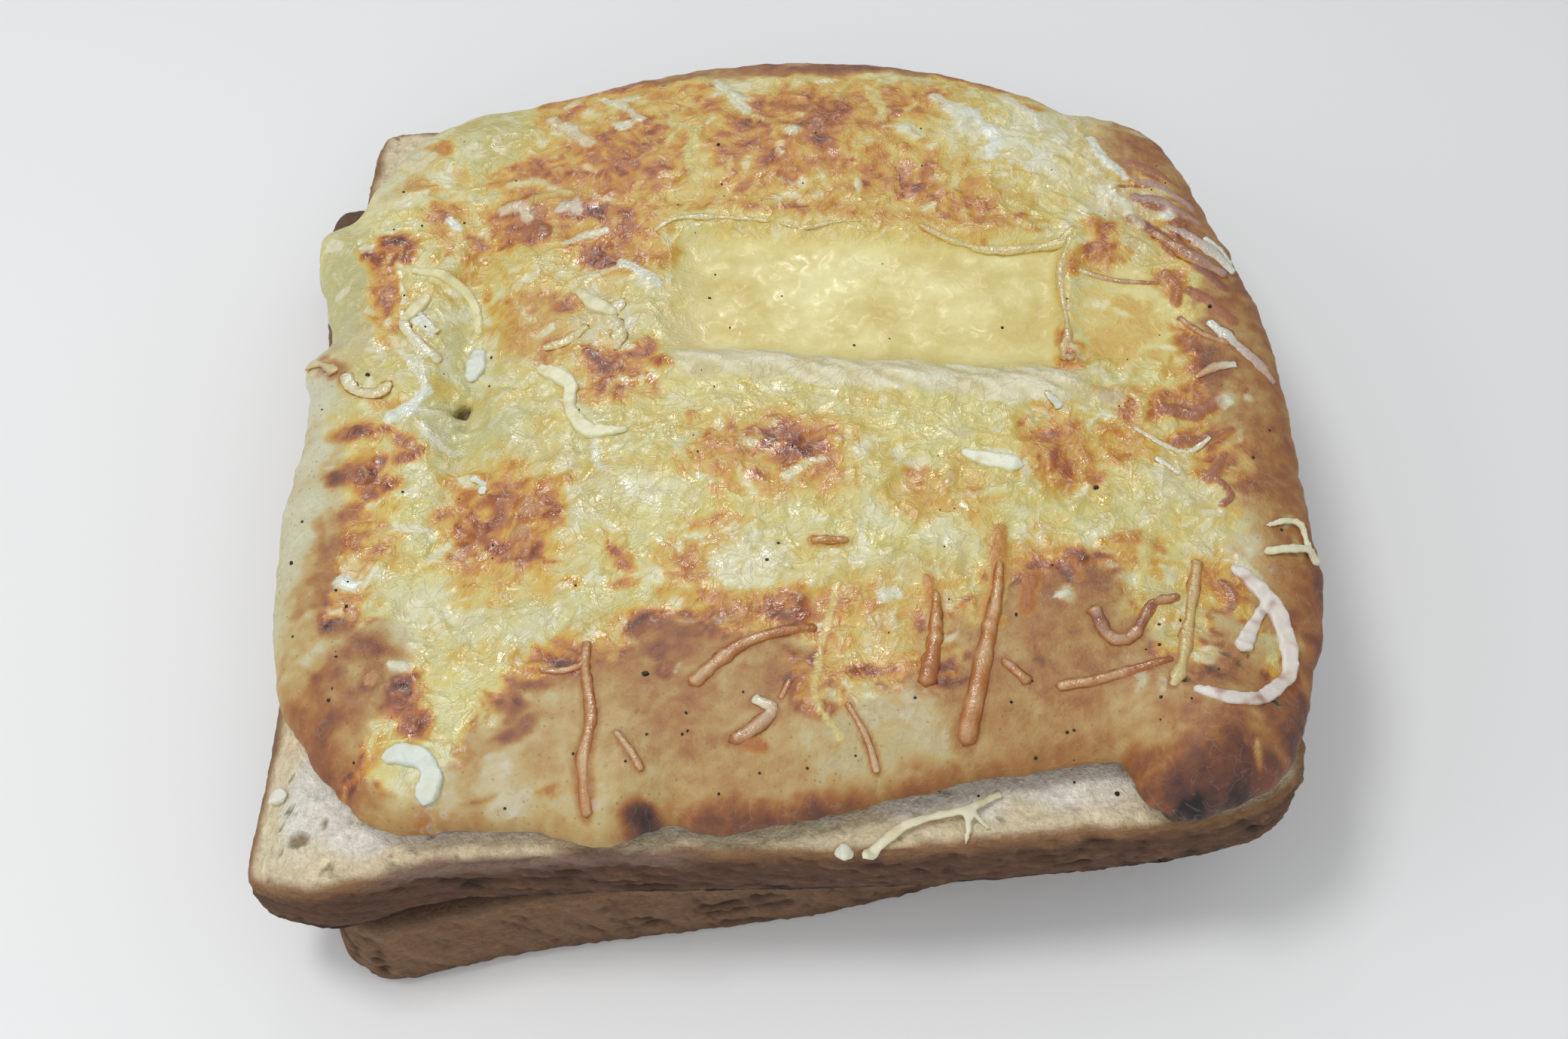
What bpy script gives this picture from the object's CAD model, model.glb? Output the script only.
import math

import bpy
import numpy as np
from mathutils import Matrix, Vector, kdtree
from mathutils.bvhtree import BVHTree


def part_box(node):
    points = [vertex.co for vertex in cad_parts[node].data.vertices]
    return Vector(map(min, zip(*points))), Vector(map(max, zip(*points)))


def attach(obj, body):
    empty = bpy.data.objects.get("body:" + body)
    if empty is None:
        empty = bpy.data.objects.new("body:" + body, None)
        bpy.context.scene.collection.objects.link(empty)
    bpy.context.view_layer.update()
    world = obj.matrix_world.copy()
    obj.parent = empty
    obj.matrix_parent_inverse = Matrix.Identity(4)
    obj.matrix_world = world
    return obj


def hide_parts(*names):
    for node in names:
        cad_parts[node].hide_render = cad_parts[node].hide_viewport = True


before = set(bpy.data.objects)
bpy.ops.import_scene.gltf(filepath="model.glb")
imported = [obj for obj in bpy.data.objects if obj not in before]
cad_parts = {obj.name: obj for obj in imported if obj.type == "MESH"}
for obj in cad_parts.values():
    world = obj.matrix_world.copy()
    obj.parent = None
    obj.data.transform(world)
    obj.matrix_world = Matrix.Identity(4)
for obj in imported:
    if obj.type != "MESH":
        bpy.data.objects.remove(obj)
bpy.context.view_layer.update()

# Until a mesh is made, lengths are in millimetres round the middle of the upper slice.
mm = 0.001
sliceMiddle = (0.065, 0.67)
sliceLow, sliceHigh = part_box("bread_slice_upper")
layoutShift = np.array([
    (sliceLow.x + sliceHigh.x) / 2 / mm - sliceMiddle[0],
    (sliceLow.y + sliceHigh.y) / 2 / mm - sliceMiddle[1],
    0.0,
])
sliceThickness = 12.3
upperTop = sliceHigh.z / mm
upperBase = upperTop - sliceThickness
toppingBase = upperTop + 0.3
toppingRim = upperTop + 3.2
toppingTop = upperTop + 7.4


# helpers

def toLinear(tone):
    share = np.asarray(tone, float) / 255
    return np.where(share <= 0.04045, share / 12.92, ((share + 0.055) / 1.055) ** 2.4)


def smoothstep(value, low=0.0, high=1.0):
    share = np.clip((value - low) / (high - low), 0, 1)
    return share * share * (3 - 2 * share)


noiseCells = 128  # the noise comes round again after so many lumps


def gradientNoise(x, y, size, seed):  # from about -1 to 1, in lumps as wide as size
    rng = np.random.default_rng(seed)
    turns = rng.uniform(0, 2 * math.pi, (noiseCells, noiseCells))
    gradX, gradY = np.cos(turns), np.sin(turns)
    u, v = np.asarray(x, float) / size, np.asarray(y, float) / size
    i, j = np.floor(u).astype(int), np.floor(v).astype(int)
    fu, fv = u - i, v - j
    su = fu**3 * (fu * (fu * 6 - 15) + 10)
    sv = fv**3 * (fv * (fv * 6 - 15) + 10)

    def corner(di, dj):
        k, m = (i + di) % noiseCells, (j + dj) % noiseCells
        return gradX[k, m] * (fu - di) + gradY[k, m] * (fv - dj)

    low = corner(0, 0) * (1 - su) + corner(1, 0) * su
    high = corner(0, 1) * (1 - su) + corner(1, 1) * su
    return 1.5 * (low * (1 - sv) + high * sv)


roughFade = 0.55  # how strong each finer noise is beside the one before
roughSpan = 1.6


def roughNoise(x, y, size, seed, octaves):
    total, weight = 0.0, 1.0
    for k in range(octaves):
        total = total + weight * gradientNoise(x, y, size / 2**k, seed + k)
        weight *= roughFade
    return total / roughSpan


def stretchBetween(b, c, before, after, t):  # the smooth stretch from b to c, given the points round them
    return 0.5 * (
        2 * b + (c - before) * t + (2 * before - 5 * b + 4 * c - after) * t**2
        + (3 * b - before - 3 * c + after) * t**3
    )


def smoothRun(points, steps):  # a smooth open curve through the points
    points = np.asarray(points, float)
    ends = np.vstack([2 * points[0] - points[1], points, 2 * points[-1] - points[-2]])
    t = np.arange(steps)[:, None] / steps
    run = []
    for k in range(1, len(ends) - 2):
        run.append(stretchBetween(ends[k], ends[k + 1], ends[k - 1], ends[k + 2], t))
    return np.vstack([*run, points[-1:]])


def deselectAll():
    for shown in bpy.context.selected_objects:
        shown.select_set(False)


def toWorld(places):  # layout millimetres to metres in the frame
    return (np.asarray(places, float) + layoutShift) * mm


def setPlaces(mesh, places):
    mesh.vertices.foreach_set("co", toWorld(places).astype(np.float32).ravel())
    mesh.update()


def getPlaces(mesh):
    places = np.empty(len(mesh.vertices) * 3, np.float32)
    mesh.vertices.foreach_get("co", places)
    return places.reshape(-1, 3).astype(float)


def setColours(mesh, name, shares):  # linear colours with a fourth value, at each vertex
    layerColours = mesh.color_attributes.new(name, "FLOAT_COLOR", "POINT")
    layerColours.data.foreach_set("color", np.asarray(shares, np.float32).ravel())


def setValues(mesh, name, values):
    mesh.attributes.new(name, "FLOAT", "POINT").data.foreach_set("value", values.astype(np.float32))


def setTones(mesh, tones, gloss):  # colours from 0 to 255, and a gloss from 0 to 1
    shares = np.ones((len(mesh.vertices), 4))
    shares[:, :3] = toLinear(np.clip(tones, 0, 255))
    setColours(mesh, "tone", shares)
    setValues(mesh, "gloss", np.clip(gloss, 0, 1))


def setBaking(mesh, browning, skinShare, whiteness, evenness, over, overShare):
    setColours(mesh, "baking", np.column_stack([browning / burntLevel, skinShare, whiteness, evenness]))
    setColours(mesh, "over", np.column_stack([toLinear(over), np.ones(len(over))]))
    setValues(mesh, "covered", overShare)


def meshPiece(name, places, faces):
    mesh = bpy.data.meshes.new(name)
    mesh.from_pydata(toWorld(places).tolist(), [], faces)
    mesh.shade_smooth()
    made = bpy.data.objects.new(name, mesh)
    bpy.context.scene.collection.objects.link(made)
    return made


# outlines, each side from its own corner on and anticlockwise
outlineOrder = ("front", "right", "back", "left")
upperOutline = {
    "front": [(-61.2, -60), (-57.3, -62.9), (-52.3, -64.6), (-46.5, -63.7), (-41, -61.9), (-34, -61),
              (-20, -60.7), (0, -60.8), (14, -60.6), (28, -59.8), (40, -58.7), (49, -57.4)],
    "right": [(56.8, -55.2), (60.2, -51.2), (61.4, -46), (62, -36), (62.2, -12), (61.8, 14), (60, 33),
              (57.5, 44)],
    "back": [(53, 53), (47, 57), (42, 58.2), (34, 61.2), (19, 64.8), (2, 66), (-15, 64.8), (-30, 61.8),
             (-42, 60.8)],
    "left": [(-55.5, 60.6), (-58.8, 57), (-59.6, 42), (-60, 10), (-60.2, -20), (-60.4, -42), (-61.2, -53.5)],
}
lowerOutline = {
    "front": [(-58.6, -57), (-54.9, -60.2), (-50, -60.8), (-37, -59.8), (-18, -60.1), (0, -60.3), (14, -58.9),
              (28, -58.2), (42, -57)],
    "right": [(51, -53.5), (55.5, -48), (57, -38), (57, -12), (56.5, 14), (55, 33), (53, 44)],
    "back": [(49, 53), (43, 57.5), (34, 61), (19, 64.6), (2, 65.8), (-15, 64.6), (-30, 63), (-42, 62.8)],
    "left": [(-53, 63.6), (-57.8, 62.4), (-60, 56), (-60, 40), (-60.2, 10), (-60.4, -20), (-60.3, -42),
             (-60, -51)],
}
toppingOutline = {
    "front": [(-49, -54.4), (-46.2, -57.2), (-42.4, -58.6), (-36, -58.4), (-28, -58.6), (-23.5, -59.8),
              (-19.6, -60.9), (-17, -60), (-14.4, -58.6), (-11.4, -58.2), (-8.6, -59.3), (-6, -59.6),
              (-2, -58.8), (4, -57.7), (14, -55.4), (23, -53.2), (31.5, -52), (37.6, -51.2), (39.6, -53),
              (40.2, -55.6), (42.4, -57.8), (46.3, -58.7)],
    "right": [(51.6, -56.8), (55.8, -54.6), (58.6, -51), (60.6, -45.6), (62.6, -39.6), (64.3, -35),
              (65.2, -30), (65.6, -22), (65.4, -14), (65.8, -3), (65.5, 8), (64.2, 18), (62.4, 26),
              (60.4, 33), (58.4, 41)],
    "back": [(55, 49), (50, 53.4), (45.5, 54.6), (42.5, 55.6), (38.5, 58.5), (30, 63), (19, 66.4), (7, 67.8),
             (-4, 67.6), (-15, 66), (-26, 62.6), (-36, 59.4), (-44, 57.4)],
    "left": [(-51.5, 52), (-56, 44), (-58.5, 37), (-63.2, 33.5), (-62.6, 28), (-60.6, 20), (-59.2, 14),
             (-62, 9.4), (-60.8, 4), (-60.6, -4), (-61.4, -14), (-60.8, -26), (-59.6, -35), (-57.2, -43),
             (-53, -49.6)],
}


def atFractions(run, fractions):
    lengths = np.concatenate([[0], np.cumsum(np.linalg.norm(np.diff(run, axis=0), axis=1))])
    wanted = np.asarray(fractions) * lengths[-1]
    return np.stack([np.interp(wanted, lengths, run[:, k]) for k in (0, 1)], -1)


outlineSteps = 12  # between two points of an outline


def outlineSides(outline, fractions):
    controls = np.array([point for name in outlineOrder for point in outline[name]], float)
    count, first, sides = len(controls), 0, []
    t = np.arange(outlineSteps)[:, None] / outlineSteps
    for name in outlineOrder:
        last = first + len(outline[name])
        run = []
        for k in range(first, last):
            before, b, c, after = (controls[(k + step) % count] for step in (-1, 0, 1, 2))
            run.append(stretchBetween(b, c, before, after, t))
        sides.append(atFractions(np.vstack([*run, controls[last % count][None]]), fractions))
        first = last
    return sides


def planGrid(outline, fractions):  # points stretched between the four sides, rows from front to back
    front, right, back, left = outlineSides(outline, fractions)
    back, left = back[::-1], left[::-1]
    u = np.asarray(fractions)[None, :, None]
    v = np.asarray(fractions)[:, None, None]
    corners = front[0] * (1 - u) * (1 - v) + front[-1] * u * (1 - v)
    corners = corners + back[0] * (1 - u) * v + back[-1] * u * v
    across = front[None] * (1 - v) + back[None] * v + left[:, None] * (1 - u) + right[:, None] * u
    return across - corners


def rimOf(grid):  # the grid's outer points, anticlockwise from the front left corner
    return np.vstack([grid[0], grid[1:-1, -1], grid[-1][::-1], grid[1:-1, 0][::-1]])


def closedRim(outline, count):  # evenly spaced points round an outline
    sides = outlineSides(outline, np.linspace(0, 1, 400))
    run = np.vstack([side[:-1] for side in sides] + [sides[0][:1]])
    return atFractions(run, np.arange(count) / count)


def rimNormals(rim):
    along = np.roll(rim, -1, 0) - np.roll(rim, 1, 0)
    outwards = np.stack([along[:, 1], -along[:, 0]], -1)
    return outwards / np.linalg.norm(outwards, axis=1, keepdims=True)


def rimTree(rim):
    tree = kdtree.KDTree(len(rim))
    for k, point in enumerate(rim):
        tree.insert((point[0], point[1], 0), k)
    tree.balance()
    return tree


def rimDistance(tree, x, y):
    flat = np.array([tree.find((a, b, 0))[2] for a, b in zip(np.ravel(x), np.ravel(y))])
    return flat.reshape(np.shape(x))


# the baked layer's canvas: fields over the layout plan that are painted first and then read at each vertex
canvasStep = 0.2
canvasX = np.arange(-70, 74, canvasStep)
canvasY = np.arange(-66, 76, canvasStep)
planX, planY = np.meshgrid(canvasX, canvasY)
wideWarp = {"size": 6, "reach": 1.1}
fineWarp = {"size": 2.1, "reach": 0.45}


def warped(field, seed):  # pushed about, so that no edge runs smooth
    wide = gradientNoise(planX, planY, wideWarp["size"], seed)
    fine = gradientNoise(planX, planY, fineWarp["size"], seed + 1)
    return field + wideWarp["reach"] * wide + fineWarp["reach"] * fine


warpX, warpY = warped(planX, 11), warped(planY, 13)
ragged = roughNoise(planX, planY, 2.6, 20, 3)


def window(x, y, reach):
    firstX, lastX = (int((x + side * reach - canvasX[0]) / canvasStep) for side in (-1, 1))
    firstY, lastY = (int((y + side * reach - canvasY[0]) / canvasStep) for side in (-1, 1))
    return (
        slice(max(firstY, 0), max(lastY, 0) + 1),
        slice(max(firstX, 0), max(lastX, 0) + 1),
    )


def ovalMask(x, y, halfX, halfY, turn, raggedness, soft):
    cut = window(x, y, 1.9 * max(halfX, halfY) + 1.5)
    offX, offY = warpX[cut] - x, warpY[cut] - y
    c, s = math.cos(math.radians(turn)), math.sin(math.radians(turn))
    reach = np.hypot((offX * c + offY * s) / halfX, (offY * c - offX * s) / halfY)
    return cut, smoothstep(1 + soft / 2 - reach - raggedness * ragged[cut], 0, soft)


# each patch: x, y, half width, half depth, amount, and its turn where it has one
def raiseField(field, patches, raggedness, soft):
    for x, y, halfX, halfY, amount, *turn in patches:
        cut, mask = ovalMask(x, y, halfX, halfY, sum(turn), raggedness, soft)
        field[cut] = np.maximum(field[cut], amount * mask)


def runField(run, reach):  # how near, in radii, each point of a window is to a run of x, y, radius
    middle = (run[:, :2].min(0) + run[:, :2].max(0)) / 2
    cut = window(middle[0], middle[1], np.ptp(run[:, :2], axis=0).max() / 2 + run[:, 2].max() * reach + 0.6)
    x, y = planX[cut], planY[cut]
    near = np.full(x.shape, 99.0)
    share = np.zeros(x.shape)
    for k, (a, b) in enumerate(zip(run[:-1], run[1:])):
        alongX, alongY = b[0] - a[0], b[1] - a[1]
        t = np.clip(((x - a[0]) * alongX + (y - a[1]) * alongY) / (alongX**2 + alongY**2 + 1e-9), 0, 1)
        away = np.hypot(x - a[0] - t * alongX, y - a[1] - t * alongY) / (a[2] + (b[2] - a[2]) * t)
        closer = away < near
        near = np.where(closer, away, near)
        share = np.where(closer, (k + t) / (len(run) - 1), share)
    return cut, near, share


def readCanvas(field, x, y):
    u = np.clip((np.asarray(x) - canvasX[0]) / canvasStep, 0, len(canvasX) - 1.001)
    v = np.clip((np.asarray(y) - canvasY[0]) / canvasStep, 0, len(canvasY) - 1.001)
    i, j = u.astype(int), v.astype(int)
    fu, fv = u - i, v - j
    if field.ndim == 3:
        fu, fv = fu[..., None], fv[..., None]
    low = field[j, i] * (1 - fu) + field[j, i + 1] * fu
    high = field[j + 1, i] * (1 - fu) + field[j + 1, i + 1] * fu
    return low * (1 - fv) + high * fv


toppingRimRun = closedRim(toppingOutline, 2400)
toppingTree = rimTree(toppingRimRun)
coarse = 6  # the distance to the rim is found at every sixth place
coarseX, coarseY = planX[::coarse, ::coarse], planY[::coarse, ::coarse]
rows = np.array([np.interp(canvasX, coarseX[0], row) for row in rimDistance(toppingTree, coarseX, coarseY)])
rimward = np.array([np.interp(canvasY, coarseY[:, 0], column) for column in rows.T]).T
print("canvas laid out")

# skin is 1 where the bare sauce has baked and 0 under melted cheese, toast is how browned a place is,
# pale is for unmelted or unbrowned spots, and green for the faint green of thick, undercooked cheese
skin, overSkin, toast, pale, green, relief, shredTone, shredRise, overShare = (
    np.zeros_like(planX) for _ in range(9)
)

skinPatches = [
    (-46, -58.4, 4.4, 4.6, 1), (8, -48, 44, 13.5, 1, 2), (-53, -46, 8, 13, 1, -28), (-58, -22, 5.5, 36, 1),
    (64, -8, 9.5, 46, 1), (62, 28, 6, 20, 1, 12), (50, -51, 13, 9, 1), (33, -33, 9, 12, 1),
    (47, -40, 9, 7, 1), (5, 65, 42, 3.4, 1), (-4, -60, 46, 6, 1), (53, 46, 7, 8, 1), (-46, -39, 5, 6, 1),
    (-34, -54, 8, 6, 1), (-12, -37, 5, 4, 1), (62, -30, 6, 10, 1), (-31, 13, 5, 7, 0.3),
    (-52, 43, 4, 7, 0.6, -20),
]
cheesePatches = [
    (-38.5, -42, 4.6, 14, 1, -4), (-40.5, -51.6, 3.8, 4.6, 0.85), (-20, -24, 22, 9, 1, -8),
    (10, -36, 7.5, 9, 1), (4, -43, 2.6, 5, 0.8), (20, -22, 22, 8, 1), (46, -32, 4, 11, 0.9, 8),
    (43, -20, 12, 7, 1), (-53, -1, 5, 5, 0.7), (18, -40, 4, 5, 0.5), (55, -12, 4, 6, 0.5),
]
raiseField(skin, skinPatches, 0.22, 0.22)
raiseField(overSkin, cheesePatches, 0.4, 0.35)
skin *= 1 - overSkin

toastPatches = [
    # broad browning
    (-28, 38, 8, 6, 0.76), (-20, 46, 5.4, 6, 0.78), (-3, 46, 5, 5, 0.9), (5, 53, 5, 4, 0.76),
    (12, 46, 6, 4, 0.5), (20, 38, 7, 3, 0.42, -20), (-36, -18, 5, 6, 0.56), (-52, -26, 3.6, 7, 0.76),
    (1, -10, 9, 6, 0.46), (20, -17, 7, 4, 0.24), (-2, -34, 9, 4, 0.5), (32, -34, 8, 6, 0.5),
    (30, -50, 9, 5, 0.4), (6, -58.6, 13, 3.2, 0.64), (24, -57, 13, 3.4, 0.66, 4), (0, -33, 10, 3.4, 0.6),
    (-52, -50, 6, 5, 0.6), (-20, 30, 6, 5, 0.4), (28, 30, 6, 2.6, 0.34, -10), (-26, 46, 7, 7, 0.38),
    (-2, 48, 8, 6, 0.45), (14, 48, 8, 5, 0.26), (-14, 57, 14, 3, 0.3), (16, 56, 10, 4, 0.34),
    (-30, 36, 8, 5, 0.34), (-44, 34, 3, 8, 0.24), (-20, 26, 6, 5, 0.32), (46, 10, 6, 8, 0.2),
    (-50, -24, 4, 8, 0.34), (-30, -26, 10, 5, 0.16), (10, -33, 14, 5, 0.26), (-29, 55, 5, 4, 0.32),
    (12, 47, 4, 4, 0.42), (20, 54, 3, 4, 0.45), (-24, 30, 6, 4, 0.3), (53, -2, 3, 3, 0.55),
    (4, -11, 4, 4, 0.45), (-11, -26, 4, 4, 0.42), (-4, -34, 6, 3, 0.7), (36, -34, 4, 6, 0.4),
    (30, -42, 8, 4, 0.26), (44, -26, 3, 3, 0.4), (62, 14, 3, 6, 0.4), (-16, -42, 8, 4, 0.3),
    (50, -54, 9, 6, 0.7), (57, -48, 4, 5, 0.74), (-28, 54, 4, 3.4, 0.5), (-20, 50, 3, 4, 0.42),
    (-12, 47, 3, 4, 0.38), (-4, 46, 3, 3.4, 0.85), (4, 55, 3, 3, 0.5), (-40, 26, 4, 6, 0.22),
    (10, 33, 24, 1.8, 0.3, -6), (-10, 34, 1.3, 0.7, 0.8), (-6.5, 34.6, 1, 0.6, 0.85),
    (-3, 34, 1.4, 0.7, 0.8, 10), (0.5, 34.2, 1, 0.7, 0.85), (4, 33.6, 1.4, 0.6, 0.6),
    (9, 33.8, 1.2, 0.6, 0.5), (14, 33.6, 1.6, 0.6, 0.6, -8), (20, 32.4, 1.4, 0.6, 0.5, -15),
    (26, 30.4, 1.6, 0.7, 0.6, -25), (31, 28.8, 1.4, 0.6, 0.5), (36, 28.4, 1.2, 0.6, 0.5),
    (60, 14, 3, 6, 0.6), (44, -8, 4, 4, 0.36), (38, 6, 2, 3, 0.5), (5, -34, 6, 4, 0.34),
    (36, -35, 5, 4, 0.5), (30, -43, 7, 4, 0.3), (50, -44, 5, 5, 0.5), (48, -55, 8, 6, 0.9),
    (46, -58, 5, 2.4, 0.9), (-10, -50, 6, 4, 0.4),
    # left side, from the back
    (-52, 26.5, 2.3, 3.6, 1.15, -15), (-51.5, 19.5, 2.4, 4.4, 0.62, 12), (-50, 12, 2, 3, 0.45),
    (-47, 48, 1.6, 1.2, 0.5), (-48.5, 40, 1.6, 1.2, 0.42), (-45, 34.5, 1.8, 3.2, 0.55, -20),
    (-53, -4.8, 2.9, 1.3, 1.05, -5), (-48, -5.5, 2.4, 0.9, 0.85, -10), (-46.7, -8.7, 2.8, 1, 0.9, 15),
    (-54, -11.5, 1.6, 1.2, 0.9), (-50.5, -11, 2.6, 1.8, 1.1), (-48, -13, 1.7, 1.2, 0.9),
    (-50.5, -15, 1.4, 1.3, 0.85), (-52, -17.4, 1.2, 1.6, 0.7), (-56, -19, 1, 1, 0.5),
    (-52.5, -25, 2, 7, 0.5), (-50, -32, 2.4, 1.4, 0.5, -20), (-49, 0, 1.6, 1, 0.5),
    # back left
    (-27, 40, 11, 8, 0.32, 10), (-34, 42.5, 3.6, 2.8, 0.9, 20), (-18.5, 46, 2, 6, 1.1, -17),
    (-22.8, 46.6, 2.8, 1.5, 0.95, 10), (-22, 43, 2.2, 1.6, 0.9), (-30.5, 35.5, 3.8, 2.8, 0.68, 10),
    (-24, 34, 2.6, 2, 0.85), (-34.5, 32.5, 4, 3.8, 0.82), (-31.5, 30.5, 1.8, 1.4, 0.9),
    (-22, 26, 3.6, 2.8, 0.95, 20), (-19.5, 32.8, 1.5, 1, 0.55), (-15, 43.5, 1.5, 1.8, 0.65),
    (-16, 39.5, 1.3, 1.4, 0.55),
    # behind the pocket
    (9, 40, 24, 6, 0.26, -4), (2, 52, 11, 6, 0.36), (-9, 55, 3.4, 2.2, 0.6, 20), (2.5, 51.5, 4, 5, 0.8),
    (8, 53, 3.2, 3.2, 1), (7.6, 46.2, 3.2, 1.3, 1.15, -10), (-3, 47.5, 2.6, 1.3, 0.95, 10),
    (17.5, 52.5, 2.4, 1.6, 0.72), (8, 42, 3.4, 1.5, 0.55, -10), (17, 38, 5, 1.4, 0.72, -27),
    (20.3, 37, 1.1, 0.8, 1.2), (25, 35, 5.6, 2, 0.55, -15), (37, 53, 1.8, 1, 0.5),
    (6.5, 64.6, 16, 2.4, 0.8), (-22, 61, 12, 1.8, 0.55, 14), (28, 61, 10, 1.6, 0.5, -22),
    # left of the pocket
    (-31.5, 14, 5.6, 6.6, 0.26), (-28, 17.5, 2, 1.7, 0.72), (-29, 10, 1.8, 1.6, 0.68),
    (-22.5, 8, 2.7, 1.5, 1, -10), (-22, 5.2, 2, 1.3, 0.9), (-21.5, 2, 2.2, 1.3, 0.82),
    (-17, 8.5, 2.3, 1.4, 1), (-15, 6.3, 1.8, 1.1, 0.82), (-21.5, 3.5, 4.4, 4.2, 0.5),
    # large patch at the left, and the one in the middle
    (-33, -18.5, 5.6, 7.2, 0.5), (-33.5, -15.6, 3.4, 3.3, 1.05), (-35, -20, 2, 4, 1.02, -10),
    (-37.4, -23, 1.8, 1.3, 1), (-30.4, -23, 3, 1.7, 0.98), (-27, -17, 1.3, 3.6, 0.78),
    (-26.5, -12.8, 1.8, 1.1, 0.62), (1, -8.5, 5.8, 5, 0.6, -10), (-0.8, -6.2, 2.9, 1.9, 1, -15),
    (4.4, -8.6, 2.3, 3, 0.95, 30), (-6.5, -9.5, 5, 5, 0.38), (6.5, -12, 1, 2, 0.5),
    (17.5, -13, 1.8, 1.3, 0.42), (-6, -22, 4, 2.4, 0.42),
    # right of the pocket
    (35.5, -10.5, 4.2, 5.4, 0.5), (36, -12, 2.1, 2, 0.85), (39, -14, 1.6, 1.3, 0.72),
    (33.5, -8, 1.6, 1.5, 0.62), (34, -4, 2.2, 1.8, 0.5), (44.5, 25.5, 2.3, 4.2, 0.72),
    (40.5, 22.5, 1.1, 2, 0.6, -25), (46, 22.5, 1.4, 1.1, 0.6), (52.8, 18.5, 1.8, 2.2, 0.78),
    (53.6, 7, 1.8, 2.8, 0.85), (55.5, 3.2, 3.2, 3.2, 0.78), (37.8, 9.5, 1.1, 1.8, 0.7),
    (53.5, -8, 4, 1.5, 0.85, 15), (54, -13.4, 1.9, 2.6, 0.8, -30), (57.8, -17, 2.3, 1, 0.85),
    (46, -3, 3.4, 3.2, 0.42), (57, 27, 4, 5, 0.66, 30), (52, 44, 5, 6.4, 0.5),
    # front left
    (-51.5, -34.5, 1.8, 1.3, 0.75), (-47.5, -38, 3, 2.4, 0.92), (-46, -41.5, 1.7, 1.4, 0.8),
    (-51.5, -41, 1.8, 1.3, 0.65), (-42.6, -43.4, 1.8, 2.4, 0.9), (-41, -46.8, 1.5, 2.2, 0.8),
    (-51, -47, 5, 6, 0.55, -20), (-50.6, -47.6, 2, 2.6, 0.95, -20), (-49, -53, 4, 5, 0.46, -35),
    (-53, -41, 5, 9, 0.12, -20), (40.2, -52.6, 1.1, 3.4, 0.5, -24), (-39, -58.6, 3, 1.2, 0.4),
    (-34, -52, 3, 4, 0.2),
    # front middle
    (-30.5, -45.5, 1.7, 1.1, 0.62), (-29, -48.3, 2.9, 1.1, 0.78, 25), (-23.5, -39.5, 6, 3.8, 0.5),
    (-24.2, -38.4, 3.4, 2, 0.85), (-27, -42, 2.2, 1.2, 0.8), (-13, -34.5, 5, 2, 0.75),
    (-16, -35, 1.5, 1.3, 0.95), (-10, -33, 1.5, 1.3, 0.9), (-13.5, -38, 1.6, 1.4, 0.85),
    (-12.5, -40.5, 1.5, 1.2, 0.95), (-11.5, -37.5, 4.8, 3.4, 0.5), (-9.5, -46.5, 6, 3.4, 0.44),
    (-15, -59, 2.2, 2.2, 1.1), (-22, -50, 8, 6, 0.22), (-4, -53, 8, 4.4, 0.34), (2, -41, 7, 6, 0.42),
    (6, -33, 9, 4, 0.3), (16, -35, 8, 6, 0.3), (27, -34, 3, 7, 0.4), (9, -56.5, 9, 1.6, 0.5, 8),
    (-6, -58, 4, 2, 0.62), (20, -43, 9, 4, 0.34), (27, -53, 12, 1.4, 0.4, 4), (11, -41.5, 3.6, 1, 0.6, 8),
    (22.5, -32, 1.3, 1.1, 0.62),
    # front right
    (31.5, -32.5, 4.4, 8.6, 0.58), (36, -26.5, 2.8, 1, 0.82, -50), (38.4, -29, 2.4, 3.2, 0.74),
    (42.5, -24.5, 3.6, 1, 0.7), (27, -27, 1.3, 3.6, 0.62), (34, -42, 9, 7, 0.4), (38, -49.6, 5, 2, 0.42),
    (49, -53, 9, 7, 0.66), (45.4, -59, 2.4, 2.2, 1.8), (47, -57.5, 6, 3.4, 0.86),
    (56, -50, 4, 5, 0.62, -20), (53, -30, 4, 5, 0.45), (61, -30, 3.6, 9, 0.7), (63.5, -20, 3, 34, 0.5),
    (65, -28, 2, 14, 0.75), (60, -15, 4.6, 20, 0.42), (62.5, 22, 3.2, 14, 0.6, 12),
    (59.5, 30, 3, 12, 0.5, 14),
]
raiseField(toast, toastPatches, 0.55, 1.5)

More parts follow.
